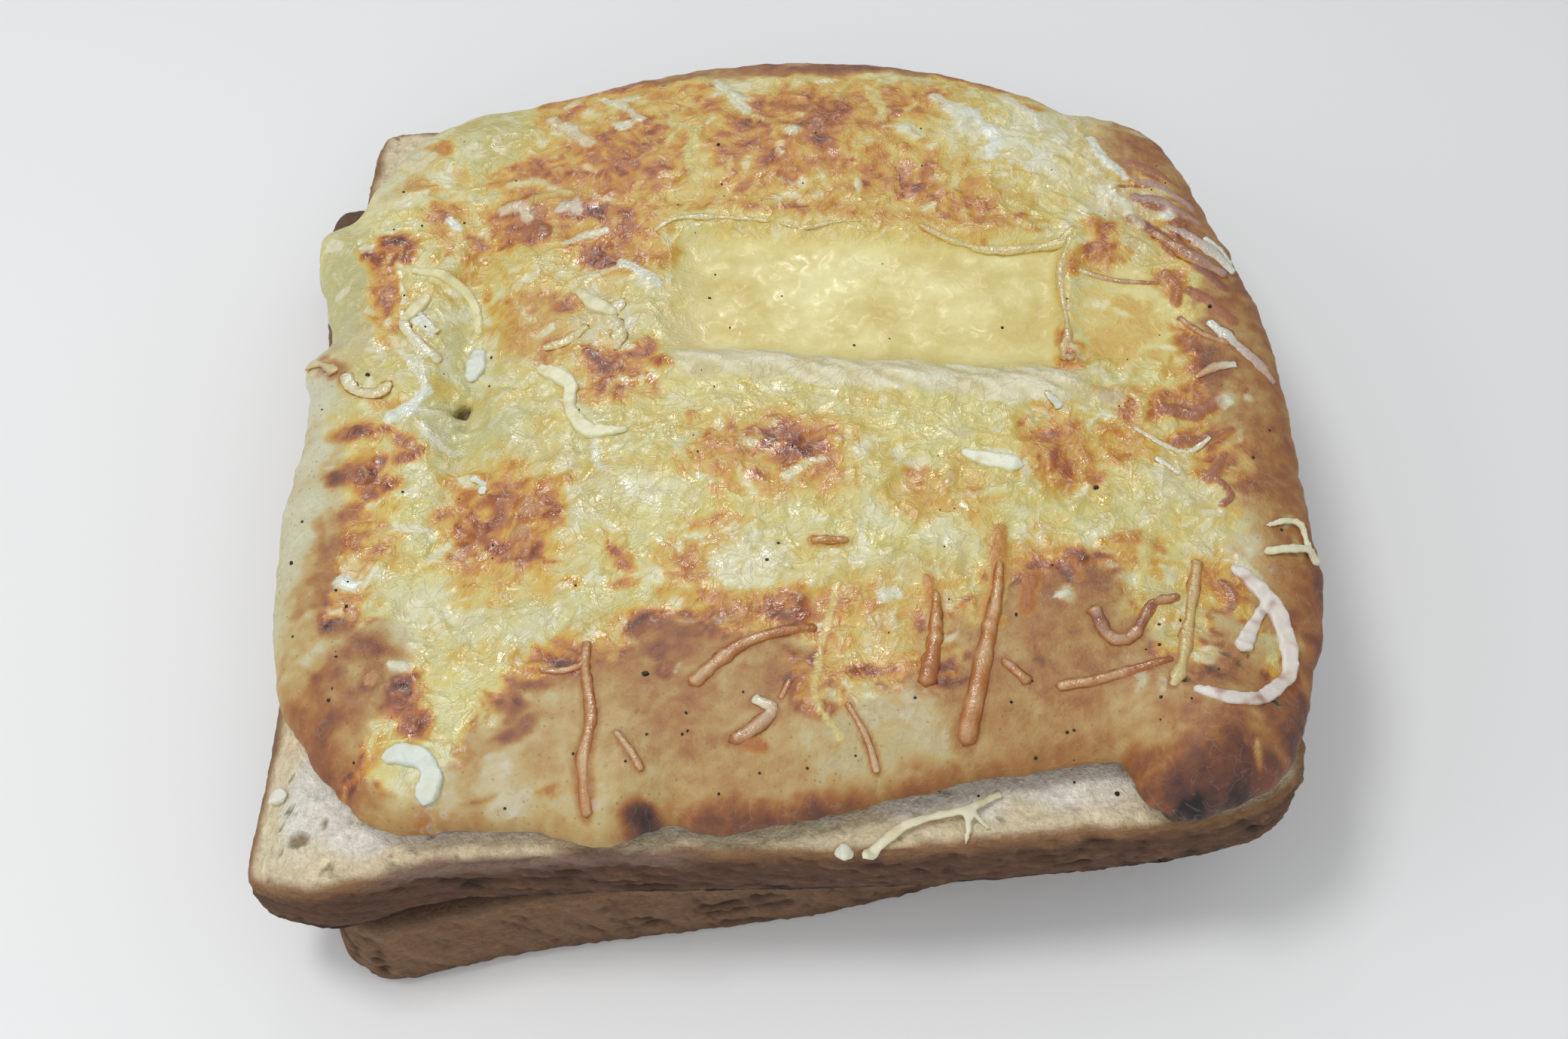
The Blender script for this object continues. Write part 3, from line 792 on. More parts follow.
# folds, lips and strings that belong to the layer
layerStrokes = [  # the tone, how far it rises, a darker rim's tone if it has one, and the points
    ("amber", 0.4, "gold", (27, -22, 0.9), (26, -29, 1.1), (25, -35, 1.2)),
    ("amber", 0.3, "gold", (18, -29, 0.7), (18.6, -35, 0.9)),
    ("rust", 0.3, "amber", (30.4, -29, 0.8), (29, -33.6, 0.9)),
    ("amber", 0.4, "gold", (4.5, -23.3, 0.7), (8.5, -23.3, 0.7)),
    ("straw", 0.12, "", (9.4, -6, 0.5), (9.2, -12, 0.6), (9, -22, 0.65), (7.2, -29, 0.65)),
    ("straw", 0.3, "", (7, -30, 0.5), (5.6, -36, 0.5), (4.5, -42, 0.55), (4.6, -46, 0.5), (7, -50, 0.5)),
    ("cream", 0.5, "gold", (-55, 5, 0.7), (-54, 2.5, 0.8), (-51, 1.5, 0.8), (-49.5, 3, 0.7)),
    ("gold", 0.3, "", (40.5, 0, 0.6), (44, 0, 0.6), (46.5, -2, 0.6), (46, -5, 0.5)),
    ("rose", 0.3, "", (54, -15, 0.6), (55.5, -17.5, 0.6), (54, -19, 0.5)),
    ("rose", 0.4, "amber", (50, -9, 0.6), (53.6, -8.4, 0.7), (57, -7, 0.6)),
    ("rose", 0.4, "amber", (53, -15, 0.6), (54.6, -13, 0.7), (55.5, -11, 0.6)),
    ("amber", 0.35, "gold", (40.5, -24, 0.7), (44, -24, 0.7), (46, -25.4, 0.6)),
    ("rust", -0.1, "", (48, 36.8, 0.35), (53, 36.8, 0.35)),
    ("rose", 0.25, "rust", (51, 33, 0.5), (54, 32.2, 0.5), (57, 31, 0.4)),
    ("rose", 0.4, "rust", (52, 28, 0.7), (55, 24.6, 0.8), (57.5, 22, 0.8), (60, 20, 0.7)),
    ("plum", 0.3, "rust", (53, 25, 0.6), (56, 22, 0.7), (59.6, 17.5, 0.6)),
    ("rose", 0.3, "amber", (52.5, -30, 0.5), (53.7, -32, 0.5), (52.8, -34, 0.5)),
    ("rust", 0.3, "amber", (-3, -50.5, 0.8), (-1.6, -51.2, 0.6)),
    ("cream", 0.3, "", (-27, 21, 0.6), (-24, 22.4, 0.7), (-20, 23.6, 0.6)),
    ("gold", 0.35, "amber", (-34, 36.5, 0.6), (-30, 38.2, 0.7), (-27, 37.6, 0.6)),
    ("rust", 0.35, "amber", (0, 55, 0.6), (3, 53.4, 0.7), (6, 54.6, 0.6)),
    # streaks over the right rim
    ("rose", 0.25, "", (49.6, 41.4, 0.5), (53, 40, 0.6), (56.4, 37.4, 0.5)),
    ("mauve", 0.3, "", (50.4, 38, 0.5), (54, 36.4, 0.6), (57.6, 33.4, 0.5)),
    ("mauve", 0.35, "rose", (50, 34.6, 0.6), (53.6, 33.4, 0.7), (58, 30.4, 0.6)),
    ("plum", 0.3, "amber", (49, 30.6, 0.6), (51.6, 28, 0.8), (53.4, 24.6, 0.7)),
    ("rust", 0.3, "amber", (52.4, 20.4, 0.6), (53.4, 17.4, 0.8), (52.8, 14.4, 0.6)),
    ("rose", 0.3, "rust", (55, 16.6, 0.6), (57.6, 14.4, 0.8), (60, 11.4, 0.7)),
    ("white", 0.3, "", (45, 46, 0.8), (46.4, 42, 0.9), (49, 38.4, 0.7)),
    ("ivory", 0.3, "", (46, 36, 0.7), (48.6, 33, 0.9), (50, 29, 0.7)),
    ("rose", 0.35, "rust", (49, -3.6, 0.8), (52.4, -4.4, 0.9), (55.6, -2.8, 0.8)),
    ("cream", 0.3, "", (50, -13, 0.7), (48.4, -17, 0.9), (46, -21, 0.8)),
    ("straw", 0.3, "", (47, -19, 0.7), (44.6, -24, 0.9), (43, -30, 0.8)),
    # folds behind the pocket
    ("ivory", 0.45, "", (23.6, 55.6, 0.9), (26.4, 52.8, 1.3), (27.4, 49, 1.1)),
    ("white", 0.45, "", (29.4, 50.4, 0.9), (31.4, 46.8, 1.3), (31, 43.4, 1)),
    ("ivory", 0.4, "", (33, 56, 0.8), (36.4, 52.6, 1.1), (38, 48.6, 0.9)),
    ("ivory", 0.35, "", (34.6, 46, 0.8), (37.6, 43, 1), (39.4, 39, 0.8)),
    ("straw", 0.35, "", (-10.6, 50, 1), (-11.4, 45, 1.3), (-10.8, 39.4, 1)),
    ("ivory", 0.4, "", (-8, 60.4, 0.9), (-5.4, 57.2, 1.3), (-3.6, 53.6, 1)),
    ("straw", 0.35, "", (14, 58.4, 0.8), (15.6, 54.4, 1), (16, 50.4, 0.8)),
    ("ivory", 0.4, "", (-24.6, 57.6, 0.8), (-21.4, 55.4, 1), (-18.8, 52.4, 0.8)),
    ("ivory", 0.4, "amber", (-31.6, 53, 0.9), (-28.4, 50.4, 1.2), (-26, 47.6, 0.9)),
    # pale ribbons at the left
    ("white", 0.4, "", (-47.6, 17.4, 0.8), (-46.4, 14.6, 1.1), (-44.8, 12, 0.9)),
    ("ivory", 0.35, "", (-48, 8.4, 0.8), (-45.8, 5.6, 1), (-44.6, 2.6, 0.8)),
    ("ivory", 0.3, "", (-28.6, 28.2, 0.5), (-25.6, 30, 0.7), (-22.8, 30.6, 0.6)),
    ("white", 0.35, "", (-20.4, 24.4, 0.8), (-18, 22.4, 1), (-15.6, 20.4, 1)),
    ("ivory", 0.35, "", (-19.4, 16, 0.7), (-19, 13.2, 0.9), (-20.6, 10.4, 0.8)),
    ("ivory", 0.45, "rust", (-37.4, 35.2, 0.9), (-35, 35.8, 1.2), (-33.6, 33.8, 1)),
    ("white", 0.5, "rust", (-29.4, 35.2, 0.8), (-27.6, 36, 1.1), (-26.8, 34.6, 0.8)),
    ("rose", 0.45, "rust", (-32.4, 32.6, 0.7), (-31.2, 31, 1)),
    ("cream", 0.4, "gold", (-36.6, 40, 0.6), (-33.4, 40.6, 0.8), (-30.4, 39.4, 0.8), (-28.6, 38, 0.6)),
    ("ivory", 0.4, "gold", (-52.4, 46, 1.2), (-50.2, 44.6, 1.4), (-48.4, 46.2, 1)),
    ("white", 0.45, "", (-44.4, 33.4, 0.8), (-43.2, 31.8, 0.9)),
    ("straw", 0.3, "", (-35.8, -1.2, 0.7), (-34, 0.8, 0.9), (-31, 2.6, 0.8)),
    ("ivory", 0.3, "", (-44.6, -3, 0.7), (-42.8, -5.8, 0.9), (-40.6, -7, 0.7)),
    ("white", 0.3, "", (-48.6, -2.6, 1), (-46.2, -0.4, 1.2), (-44.8, 2.2, 0.9)),
    ("ivory", 0.3, "", (-22.4, -6.6, 0.6), (-22.2, -9.6, 0.8), (-21.4, -11.4, 0.6)),
]
ridge = {"line": [(-14, 5.9), (-6, 6.2), (2, 5.4), (10, 4.0), (20, 2.6), (30, 1.2), (41, 0.4)], "half": 3.3,
         "tones": ((232, 228, 198), (204, 190, 138)), "rise": 0.45, "grooves": 0.36}


def raiseRidge():  # the pale folded strip along the pocket's near edge
    alongX, alongY = np.array(ridge["line"]).T
    cut = window(14, 3, 34)
    x, y = planX[cut], planY[cut]
    off = (y - np.interp(x, alongX, alongY)) / (ridge["half"] * (1 + 0.25 * gradientNoise(x, y, 5, 140)))
    ends = smoothstep(x, -15, -8) * smoothstep(43 - x, 0, 8)
    share = 0.9 * smoothstep(1.2 - np.abs(off + 0.25 * ragged[cut]), 0, 0.7) * ends
    slantX, slantY = x * 0.9 - y * 0.44, x * 0.44 + y * 0.9
    groove = gradientNoise(slantX / 5, slantY, 1.3, 141) + 0.5 * gradientNoise(slantX / 4, slantY, 0.7, 142)
    relief[cut] += share * (ridge["rise"] * (1 - off**2).clip(0, 1) + ridge["grooves"] * groove)
    light, dark = (np.array(tone, float) for tone in ridge["tones"])
    mix = np.clip(0.6 + 0.8 * groove, 0, 1)[..., None]
    strip = dark + (light - dark) * mix
    cover(cut, strip, share)
    shine[cut] += (0.35 - shine[cut]) * share


raiseRidge()
for tone, rise, rimTone, *points in layerStrokes:
    paleOne = tone in ("ivory", "white", "cream", "straw")
    stroke(
        points, tones[tone], rise * (0.75 if paleOne else 1), tones.get(rimTone),
        strength=0.6 if paleOne else 0.9, raggedness=0.5,
    )

# lumps: x, y, radius, tone, height
layerLumps = [
    (-31.5, 30.5, 1.2, "rose", 0.6), (-33.5, -16, 1.6, "rust", 0.6), (-30.5, -17, 1.1, "pinkish", 0.5),
    (-31, -20.6, 1.2, "pinkish", 0.5), (-35.6, -21, 1.1, "brick", 0.5), (42.8, -1.4, 1.4, "skin", 0.6),
    (-16, -35, 1, "brick", 0.45), (-10, -33, 1, "brick", 0.45), (-13.5, -38, 0.9, "brick", 0.4),
    (-12.5, -40.5, 1, "brick", 0.45), (-3.8, -40.3, 0.7, "rust", 0.3), (-6, -33.5, 0.7, "rust", 0.3),
    (-3, -33, 0.7, "rust", 0.3), (33.5, -32, 0.9, "ivory", 0.5), (13.5, -31, 1.1, "ivory", 0.5),
    (7, 51.5, 1.4, "rust", 0.5), (9.4, 54.4, 1.2, "rust", 0.5), (-46, -41.5, 1, "pinkish", 0.5),
    (-47.6, -37.6, 1.2, "rose", 0.5), (54, 31, 1, "white", 0.5), (57, -2.8, 1, "ivory", 0.5),
    (-17, 20.5, 1.1, "ivory", 0.5), (28, 52, 1.3, "white", 0.5), (33, 46, 1.3, "ivory", 0.4),
    (36.4, 41, 1.3, "ivory", 0.4), (41, 46, 1.2, "ivory", 0.4), (-29, 51, 1.4, "ivory", 0.5),
    (-21.5, 51, 1.2, "ivory", 0.4), (-3.5, 49, 1, "rust", 0.4), (3, 48.5, 1, "ivory", 0.4),
    (19, 48.5, 1.1, "ivory", 0.4), (-50.5, -28, 1.3, "white", 0.5), (-43.5, -39.5, 1, "ivory", 0.4),
    (-39, -24, 0.9, "brick", 0.4),
]
for x, y, radius, tone, rise in layerLumps:
    strength = 0.4 if tone in ("brick", "rust", "rose", "plum") else 0.6
    ends = [(x - 0.3 * radius, y, radius), (x + 0.3 * radius, y + 0.2, radius * 0.9)]
    stroke(ends, tones[tone], rise, strength=strength, raggedness=0.6)

layerHoles = [  # x, y, radius, depth, tone and how strong it is
    (-40, 1.4, 1.1, 1.7, (112, 96, 52), 0.9), (-40.3, 0.0, 0.9, 1.3, (126, 108, 62), 0.8),
    (-39.4, -2.5, 0.8, 0.4, (168, 150, 96), 0.5),
]
smallHoles = [(49, -42.6, 0.5), (50.6, -41, 0.5), (52.2, -42, 0.5), (53.6, -41, 0.4), (46.3, -44, 0.5)]
layerHoles += [(x, y, radius, 0.5, (110, 84, 60), 0.7) for x, y, radius in smallHoles]
for hole in layerHoles:
    hollow(*hole)
stroke([(54, -46.6, 0.3), (55.4, -46.2, 0.35), (56.5, -46.8, 0.3)], (58, 36, 26), -0.3)

# ground pepper and burnt flecks
pepperSpots = [
    (-7.5, 46), (-13, 34.7), (-51.5, 39), (-52, 31.5), (-42.5, 33), (-49.2, 19), (-52.3, 4.7), (-58, 0.5),
    (-37, 9.2), (-45.8, -14.1), (-58, -17.5), (-58.5, -23.5), (-8.5, 18.5), (10.5, 9.7), (30, 12),
    (57.2, 13.6), (62, -6.5), (59, -11.5), (43.5, -2.8), (39.2, -15.8), (60.8, -22.3), (0.4, -23.5),
    (-1, -26), (-56.5, -34.8), (-52, -29), (-50.5, -31.3), (-50.5, -38.9), (-50.5, -43), (-50.8, -44.3),
    (-47.3, -51.7), (-15, -41), (-22.7, -51.5), (-30.2, -57), (-16.7, -53.3), (-10, -49), (-10.6, -49.4),
    (-10.2, -46.7), (-6.5, -56.2), (-2, -54), (-3.8, -44), (3.3, -53.5), (8.7, -52), (15.6, -45.6),
    (22.7, -53.4), (26.4, -46.1), (29, -43.3), (28.9, -51.6), (27.9, -34.4), (32.8, -27.2), (43.9, -39),
    (44.3, -36), (46.8, -35.5), (33.7, -51.9), (38.4, -53.5), (32.5, -49.2), (33.3, -49), (43, -46.5),
]
bigPepper = {
    (-52.3, 4.7): 0.34, (-15, -41): 0.4, (38.4, -53.5): 0.36, (57.2, 13.6): 0.32, (39.2, -15.8): 0.34,
}
speckles = {"count": 420, "radius": (0.18, 0.4), "dark": (0.15, 0.5), "tone": (112, 80, 52)}


def speckle():  # faint flecks in the sauce
    rng = np.random.default_rng(8)
    for _ in range(speckles["count"]):
        x, y = rng.uniform(-62, 64), rng.uniform(-58, 62)
        radius, dark = rng.uniform(*speckles["radius"]), rng.uniform(*speckles["dark"])
        if readCanvas(skin, x, y) < rng.uniform(0, 1.2):
            continue
        cut, mask = ovalMask(x, y, radius, radius, 0, 0.1, 0.9)
        cover(cut, speckles["tone"], mask * dark)


speckle()
print("strokes painted")

# heights of the baked layer
toppingEdge = 8.0
swellings = [  # x, y, half width in x and in y, height
    (49, -50, 9, 8, 2.6), (46.8, -54.6, 4.2, 3.8, 2.1), (-52, -41, 8, 12, 1.8), (8, -46, 30, 6, 0.9),
    (-17, -54, 4.5, 4.5, 1.8), (2, -14, 34, 14, 1.2), (-39.5, 8, 3.6, 26, -2.4), (-51, 2, 8, 30, 0.7),
    (-38, -24, 13, 15, -0.8), (6, 47, 34, 9, 1.3), (55, 6, 7, 26, 0.5), (34, -34, 12, 8, 0.8),
]
folds = [  # width, height, and the line that it follows
    (2.6, 0.6, [(-14, 7), (-2, 5.5), (12, 3), (26, 1), (38, 0)]),
    (1.3, 0.8, [(41, 28), (39, 20), (38.4, 12), (38, 5)]),
    (2.6, 0.5, [(-15, 32), (-4, 34), (10, 32.6), (25, 29.5), (41, 29)]),
]


def lineDistance(line, x, y):
    nearest = np.full(np.shape(x), 999.0)
    for (ax, ay), (bx, by) in zip(line, line[1:]):
        t = np.clip(((x - ax) * (bx - ax) + (y - ay) * (by - ay)) / ((bx - ax) ** 2 + (by - ay) ** 2), 0, 1)
        nearest = np.minimum(nearest, np.hypot(x - ax - t * (bx - ax), y - ay - t * (by - ay)))
    return nearest


def layerHeight(x, y, inwards):
    level = toppingTop + 0.35 * gradientNoise(x, y, 12, 90)
    for midX, midY, halfX, halfY, rise in swellings:
        level = level + rise * np.exp(-(((x - midX) / halfX) ** 2) - ((y - midY) / halfY) ** 2)
    level = level - pocket["depth"] * pocketShare(x, y, pocket["edge"])
    risen = [rise * np.exp(-((lineDistance(line, x, y) / width) ** 2)) for width, rise, line in folds]
    level = level + np.max(risen, 0)
    level = level + readCanvas(relief, x, y) * smoothstep(inwards, 0.3, 3)
    share = np.clip(inwards / toppingEdge, 0, 1)
    return toppingRim + (level - toppingRim) * np.sqrt(1 - (1 - share) ** 2)


# the baked layer itself
toppingGrid = {"cells": 292, "crowding": 0.3, "pushReach": 4, "sliceSteps": 700, "wobble": 0.2, "readIn": 0.8}
underLook = {"gloss": 0.6, "browning": 0.5}  # what the hidden side loses and gains
plainSide = [(0.15, 2.4), (0.5, 1.9), (0.9, 1.3), (1.3, 0.8), (2.0, 0.3), (2.6, 0.0), (3.4, 0.0)]
hangingSide = [(-0.2, 1.6), (-0.3, 0.4), (-0.1, -1.2), (0.2, -2.5), (0.6, -3.0), (1.1, -3.1), (2.0, 0.0)]
underRings = (0.9, 0.5, 0.02)
hangingStart = 1.7
hangingRise = 1.2


def insideRun(rim, x, y):
    inside = np.zeros(np.shape(x), bool)
    for start, end in zip(rim, np.roll(rim, -1, 0)):
        crosses = (start[1] > y) != (end[1] > y)
        rise = end[1] - start[1] if end[1] != start[1] else 1e-9
        inside ^= crosses & (x < start[0] + (end[0] - start[0]) * (y - start[1]) / rise)
    return inside


def rimPush(x, y):
    return np.stack([
        0.35 * roughNoise(x, y, 2.6, seed, 2) + 0.3 * gradientNoise(x, y, 6, seed + 1) for seed in (97, 99)
    ], -1)


def makeTopping():
    cells = toppingGrid["cells"]
    deselectAll()
    bpy.ops.mesh.primitive_grid_add(x_subdivisions=cells, y_subdivisions=cells, size=2)
    layer = bpy.context.active_object
    layer.name = "baked_cheese_layer"
    start = getPlaces(layer.data)
    columns, rows = (np.rint((start[:, k] + 1) / 2 * cells).astype(int) for k in (0, 1))
    even = np.linspace(0, 1, cells + 1)
    crowding = toppingGrid["crowding"]
    fractions = (1 - crowding) * even + crowding * (0.5 - 0.5 * np.cos(math.pi * even))
    plan = planGrid(toppingOutline, fractions)
    pushReach = toppingGrid["pushReach"]
    nearRim = pushReach - rimDistance(toppingTree, plan[..., 0], plan[..., 1])
    nearRim = smoothstep(nearRim, 0, pushReach)[..., None]
    plan = plan + rimPush(plan[..., 0], plan[..., 1]) * nearRim
    x, y = plan[rows, columns].T
    inwards = rimDistance(rimTree(rimOf(plan)), x, y)
    places = [np.column_stack([x, y, layerHeight(x, y, inwards)])]
    reading = [np.column_stack([x, y])]
    under = [np.zeros(len(x))]
    setPlaces(layer.data, places[0])
    rim = rimOf(plan)
    normals = rimNormals(rim)
    sliceRun = closedRim(upperOutline, toppingGrid["sliceSteps"])
    away = rimDistance(rimTree(sliceRun), rim[:, 0], rim[:, 1])
    hanging = np.where(
        insideRun(sliceRun, rim[:, 0], rim[:, 1]), 0, smoothstep((away - hangingStart) / hangingRise)
    )
    rimPlaces = rimTree(toWorld(np.column_stack([rim, np.zeros(len(rim))])))
    bpy.ops.object.mode_set(mode="EDIT")
    bpy.ops.mesh.select_mode(type="EDGE")
    bpy.ops.mesh.select_all(action="DESELECT")
    bpy.ops.mesh.select_non_manifold()
    for _ in (*plainSide, *underRings):
        bpy.ops.mesh.extrude_region_move()
    bpy.ops.mesh.edge_face_add()
    bpy.ops.object.mode_set(mode="OBJECT")
    world = getPlaces(layer.data)
    first = len(start)
    wobble = toppingGrid["wobble"] * gradientNoise(rim[:, 0], rim[:, 1], 3, 95)
    for ring, ((plainIn, plainUp), (hangIn, hangUp)) in enumerate(zip(plainSide, hangingSide)):
        last = first + len(rim)
        order = np.array([rimPlaces.find((point[0], point[1], 0))[1] for point in world[first:last]])
        share = hanging[order]
        inward = plainIn + (hangIn - plainIn) * share + wobble[order] * (0 < ring < 5)
        up = plainUp + (hangUp - plainUp) * share
        spot = rim[order] - normals[order] * inward[:, None]
        places.append(np.column_stack([spot, toppingBase + up]))
        reading.append(rim[order] - normals[order] * toppingGrid["readIn"])
        under.append(np.full(len(rim), (ring + 1) / len(plainSide)))
        first = last
    foot, middle = spot, rim.mean(0)
    for share in underRings:
        last = first + len(rim)
        spot = middle + (foot - middle) * share
        places.append(np.column_stack([spot, np.full(len(rim), toppingBase)]))
        reading.append(spot)
        under.append(np.ones(len(rim)))
        first = last
    setPlaces(layer.data, np.vstack(places))
    x, y = np.vstack(reading).T
    under = np.concatenate(under)
    setTones(layer.data, readCanvas(ground, x, y), readCanvas(shine, x, y) * (1 - underLook["gloss"] * under))
    browner = np.clip(readCanvas(browned, x, y) + underLook["browning"] * under, 0, burntLevel)
    setBaking(
        layer.data, browner, readCanvas(skin, x, y), readCanvas(white, x, y) * (1 - under),
        readCanvas(smooth, x, y), readCanvas(overTone, x, y), readCanvas(overShare, x, y),
    )
    layer.data.shade_smooth()
    return layer


layer = makeTopping()
print("baked layer:", len(layer.data.vertices), "vertices")


# bread: a sphere's rings are laid out as the slice's crumb, rim, side and foot
crustProfile = [  # how far in from the widest line, and how far down from the wide face
    (2.6, 0.0), (2.1, 0.02), (1.5, 0.1), (1.0, 0.26), (0.6, 0.5), (0.3, 0.85), (0.1, 1.3), (0.0, 1.8),
    (0.0, 2.5), (0.0, 3.2), (0.0, 3.9), (0.02, 4.6), (0.05, 5.3), (0.12, 6.0), (0.22, 6.7), (0.34, 7.4),
    (0.48, 8.1), (0.64, 8.8), (0.8, 9.5), (0.98, 10.1), (1.18, 10.7), (1.4, 11.2), (1.65, 11.65),
    (1.95, 12.0), (2.4, 12.22), (3.0, 12.3),
]
sliceLook = {
    "around": 77, "segments": 900, "denseRings": 30, "denseStep": 0.55, "coarseRings": 5, "footRings": 4,
}
lowerTurn = math.radians(7.8)
lowerShift = np.array([-2.4, 3.1])
crustTones = {
    "dark": (58, 36, 26), "mid": (104, 71, 48), "light": (152, 119, 90), "gold": (158, 118, 78),
    "crack": (36, 22, 16), "foot": (92, 62, 42), "film": (140, 114, 102), "underside": (134, 101, 74),
}
crumbTones = {"white": (240, 236, 222), "cream": (228, 212, 176), "pore": (150, 132, 100)}


def lowerEdgeX(y):
    return -54.0 - math.tan(lowerTurn) * (y + 57)


def upperDroop(x, y):
    return np.where(y < 10, 3.6 * smoothstep((lowerEdgeX(y) - x) / 7.5), 0)


def mixTone(tone, goal, share):
    return tone + (np.asarray(goal, float) - tone) * np.clip(share, 0, 1)[:, None]


def sliceRings(wideAtTop, reach):  # how far in and how far down each ring is, from one pole to the other
    profile = crustProfile
    if not wideAtTop:
        profile = [(inset, sliceThickness - down) for inset, down in reversed(crustProfile)]
    edgeIn, footIn = profile[0][0], profile[-1][0]
    deep = [edgeIn + (k + 1) * sliceLook["denseStep"] for k in range(sliceLook["denseRings"])]
    coarse = sliceLook["coarseRings"]
    deep += [deep[-1] + (reach - deep[-1]) * (k + 1) / (coarse + 1) for k in range(coarse)]
    footRings = sliceLook["footRings"]
    foot = [(footIn + (reach - footIn) * (k + 1) / (footRings + 1), sliceThickness) for k in range(footRings)]
    return [(inset, 0.0) for inset in reversed(deep)] + profile + foot, edgeIn


def laySlice(name, outline, wideAtTop):  # each place's spot, way out, angle, and how far in and down it is
    count = sliceLook["segments"]
    rim = closedRim(outline, count)
    normals = rimNormals(rim)
    for _ in range(4):
        normals = (np.roll(normals, 1, 0) + normals * 2 + np.roll(normals, -1, 0)) / 4
        normals /= np.linalg.norm(normals, axis=1, keepdims=True)
    middle = rim.mean(0)
    reach = np.linalg.norm(rim - middle, axis=1).mean()
    rings, edgeIn = sliceRings(wideAtTop, reach)
    deselectAll()
    bpy.ops.mesh.primitive_uv_sphere_add(segments=count, ring_count=len(rings) + 1, radius=1)
    bread = bpy.context.active_object
    bread.name = name
    start = getPlaces(bread.data)
    turn = np.mod(np.arctan2(start[:, 1], start[:, 0]), 2 * math.pi)
    column = np.rint(turn / (2 * math.pi) * count).astype(int) % count
    ring = np.rint(np.arccos(np.clip(start[:, 2], -1, 1)) / math.pi * (len(rings) + 1)).astype(int)
    inset = np.array([reach, *(r[0] for r in rings), reach])[ring]
    down = np.array([0.0, *(r[1] for r in rings), sliceThickness])[ring]
    near = np.minimum(inset, edgeIn + 0.5)
    spot = rim[column] - normals[column] * near[:, None]
    spot += (middle - spot) * np.clip((inset - near) / (reach - near), 0, 1)[:, None]
    return bread, spot, normals[column], column / count * 2 * math.pi, inset, down


def crustTone(baseTone, fibres, grit, lumps, cracks):
    tone = np.tile(np.array(baseTone, float), (len(fibres), 1))
    for goal, share in (
        ("light", 0.7 * smoothstep(fibres + 0.4 * grit, 0.0, 0.8)),
        ("dark", 0.7 * smoothstep(-fibres - 0.4 * grit, 0.1, 0.8)),
        ("dark", 0.4 * smoothstep(-lumps, 0.15, 0.8)),
        ("crack", cracks * 0.95),
    ):
        tone = mixTone(tone, crustTones[goal], share)
    return tone


def makeSlice(name, outline, wideAtTop, seed, roughness, baseTone):
    bread, spot, outward, angle, inset, down = laySlice(name, outline, wideAtTop)

    # crust: fibres, lumps, grit and cracks
    depth = sliceThickness - down
    around = sliceLook["around"]  # the noise is read on a circle, so that it closes on itself
    aroundX, aroundY = around * np.cos(angle), around * np.sin(angle)
    level = depth * roughness["stretch"]
    along = aroundX + 0.37 * aroundY
    across = aroundY - 0.37 * aroundX
    fibres = roughNoise(along + level * 0.31, across + level, roughness["size"], seed, 4)
    lumps = roughNoise(along - level * 0.2, across * 0.9 + level * 0.5, 9, seed + 7, 3)
    grit = roughNoise(along * 1.3 + level, across * 1.3 - level, 1.3, seed + 11, 2)
    side = smoothstep(np.minimum(depth, sliceThickness - depth), 0.0, 1.3) * (inset < 3.1)
    crackLine = np.abs(gradientNoise(along * 0.5 + across * 0.2, depth * 2.2 + 0.2 * along, 3.2, seed + 13))
    cracks = smoothstep(0.16 - crackLine, 0, 0.14) * smoothstep(lumps, 0.12, 0.5) * side
    push = side * (-0.3 + roughness["height"] * fibres + 0.25 * lumps + 0.12 * grit) - 0.7 * cracks
    spot += outward * push[:, None]

    # crumb on the wide face, open at the front corner
    x, y = spot.T
    crumb = smoothstep(inset + 0.9 * lumps, 0.6, 2.1) * (down < 0.3) if wideAtTop else np.zeros(len(x))
    pores = roughNoise(x * 0.8 + y * 0.5, y * 1.1 - x * 0.2, 2.0, seed + 23, 4)
    pores = smoothstep(pores, 0.36, 0.62) * crumb
    corner = smoothstep(1.5 - np.hypot((x + 54.4) / 1.0, (y + 57.2) / 0.7), 0, 0.8) * wideAtTop
    pores = np.maximum(pores, corner * 1.4)
    z = depth - 0.3 * crumb - 0.5 * pores + 0.1 * roughNoise(x, y, 2.2, seed + 29, 3) * crumb
    z += 0.12 * grit * (1 - crumb) * (down < 1.5)

    # tones
    tone = crustTone(baseTone, fibres, grit, lumps, cracks)
    golden = smoothstep(depth + 0.8 * lumps, 9.8, 11.8) * (inset < 3.6)
    tone = mixTone(tone, crustTones["gold"], golden * 0.8)
    if wideAtTop:
        front = smoothstep(x, -48, -42) * smoothstep(-6 - x, 0, 8) * (y < -50)
        tone = mixTone(tone, crustTones["film"], 0.8 * front * smoothstep(depth + 0.6 * lumps, 9.6, 10.6))
        tone = mixTone(tone, crustTones["crack"], 0.9 * smoothstep(2.3 + 0.6 * lumps - depth, 0, 1.6))
    else:
        tone = mixTone(tone, crustTones["crack"], 0.85 * smoothstep(inset, 0.8, 2.2) * (down < 1.5))
    whiter = smoothstep(inset + 2.5 * gradientNoise(x, y, 6, seed + 41), 2.6, 7)
    crumbTone = np.tile(np.array(crumbTones["cream"], float), (len(x), 1))
    crumbTone = mixTone(crumbTone, crumbTones["white"], whiter)
    crumbTone = mixTone(crumbTone, crumbTones["pore"], pores * 0.9)
    tone += (crumbTone - tone) * crumb[:, None]
    return bread, np.column_stack([x, y, z]), tone


def finishSlice(bread, places, tone):
    setPlaces(bread.data, places)
    setTones(bread.data, tone, np.full(len(tone), 0.1))
    bread.data.shade_smooth()


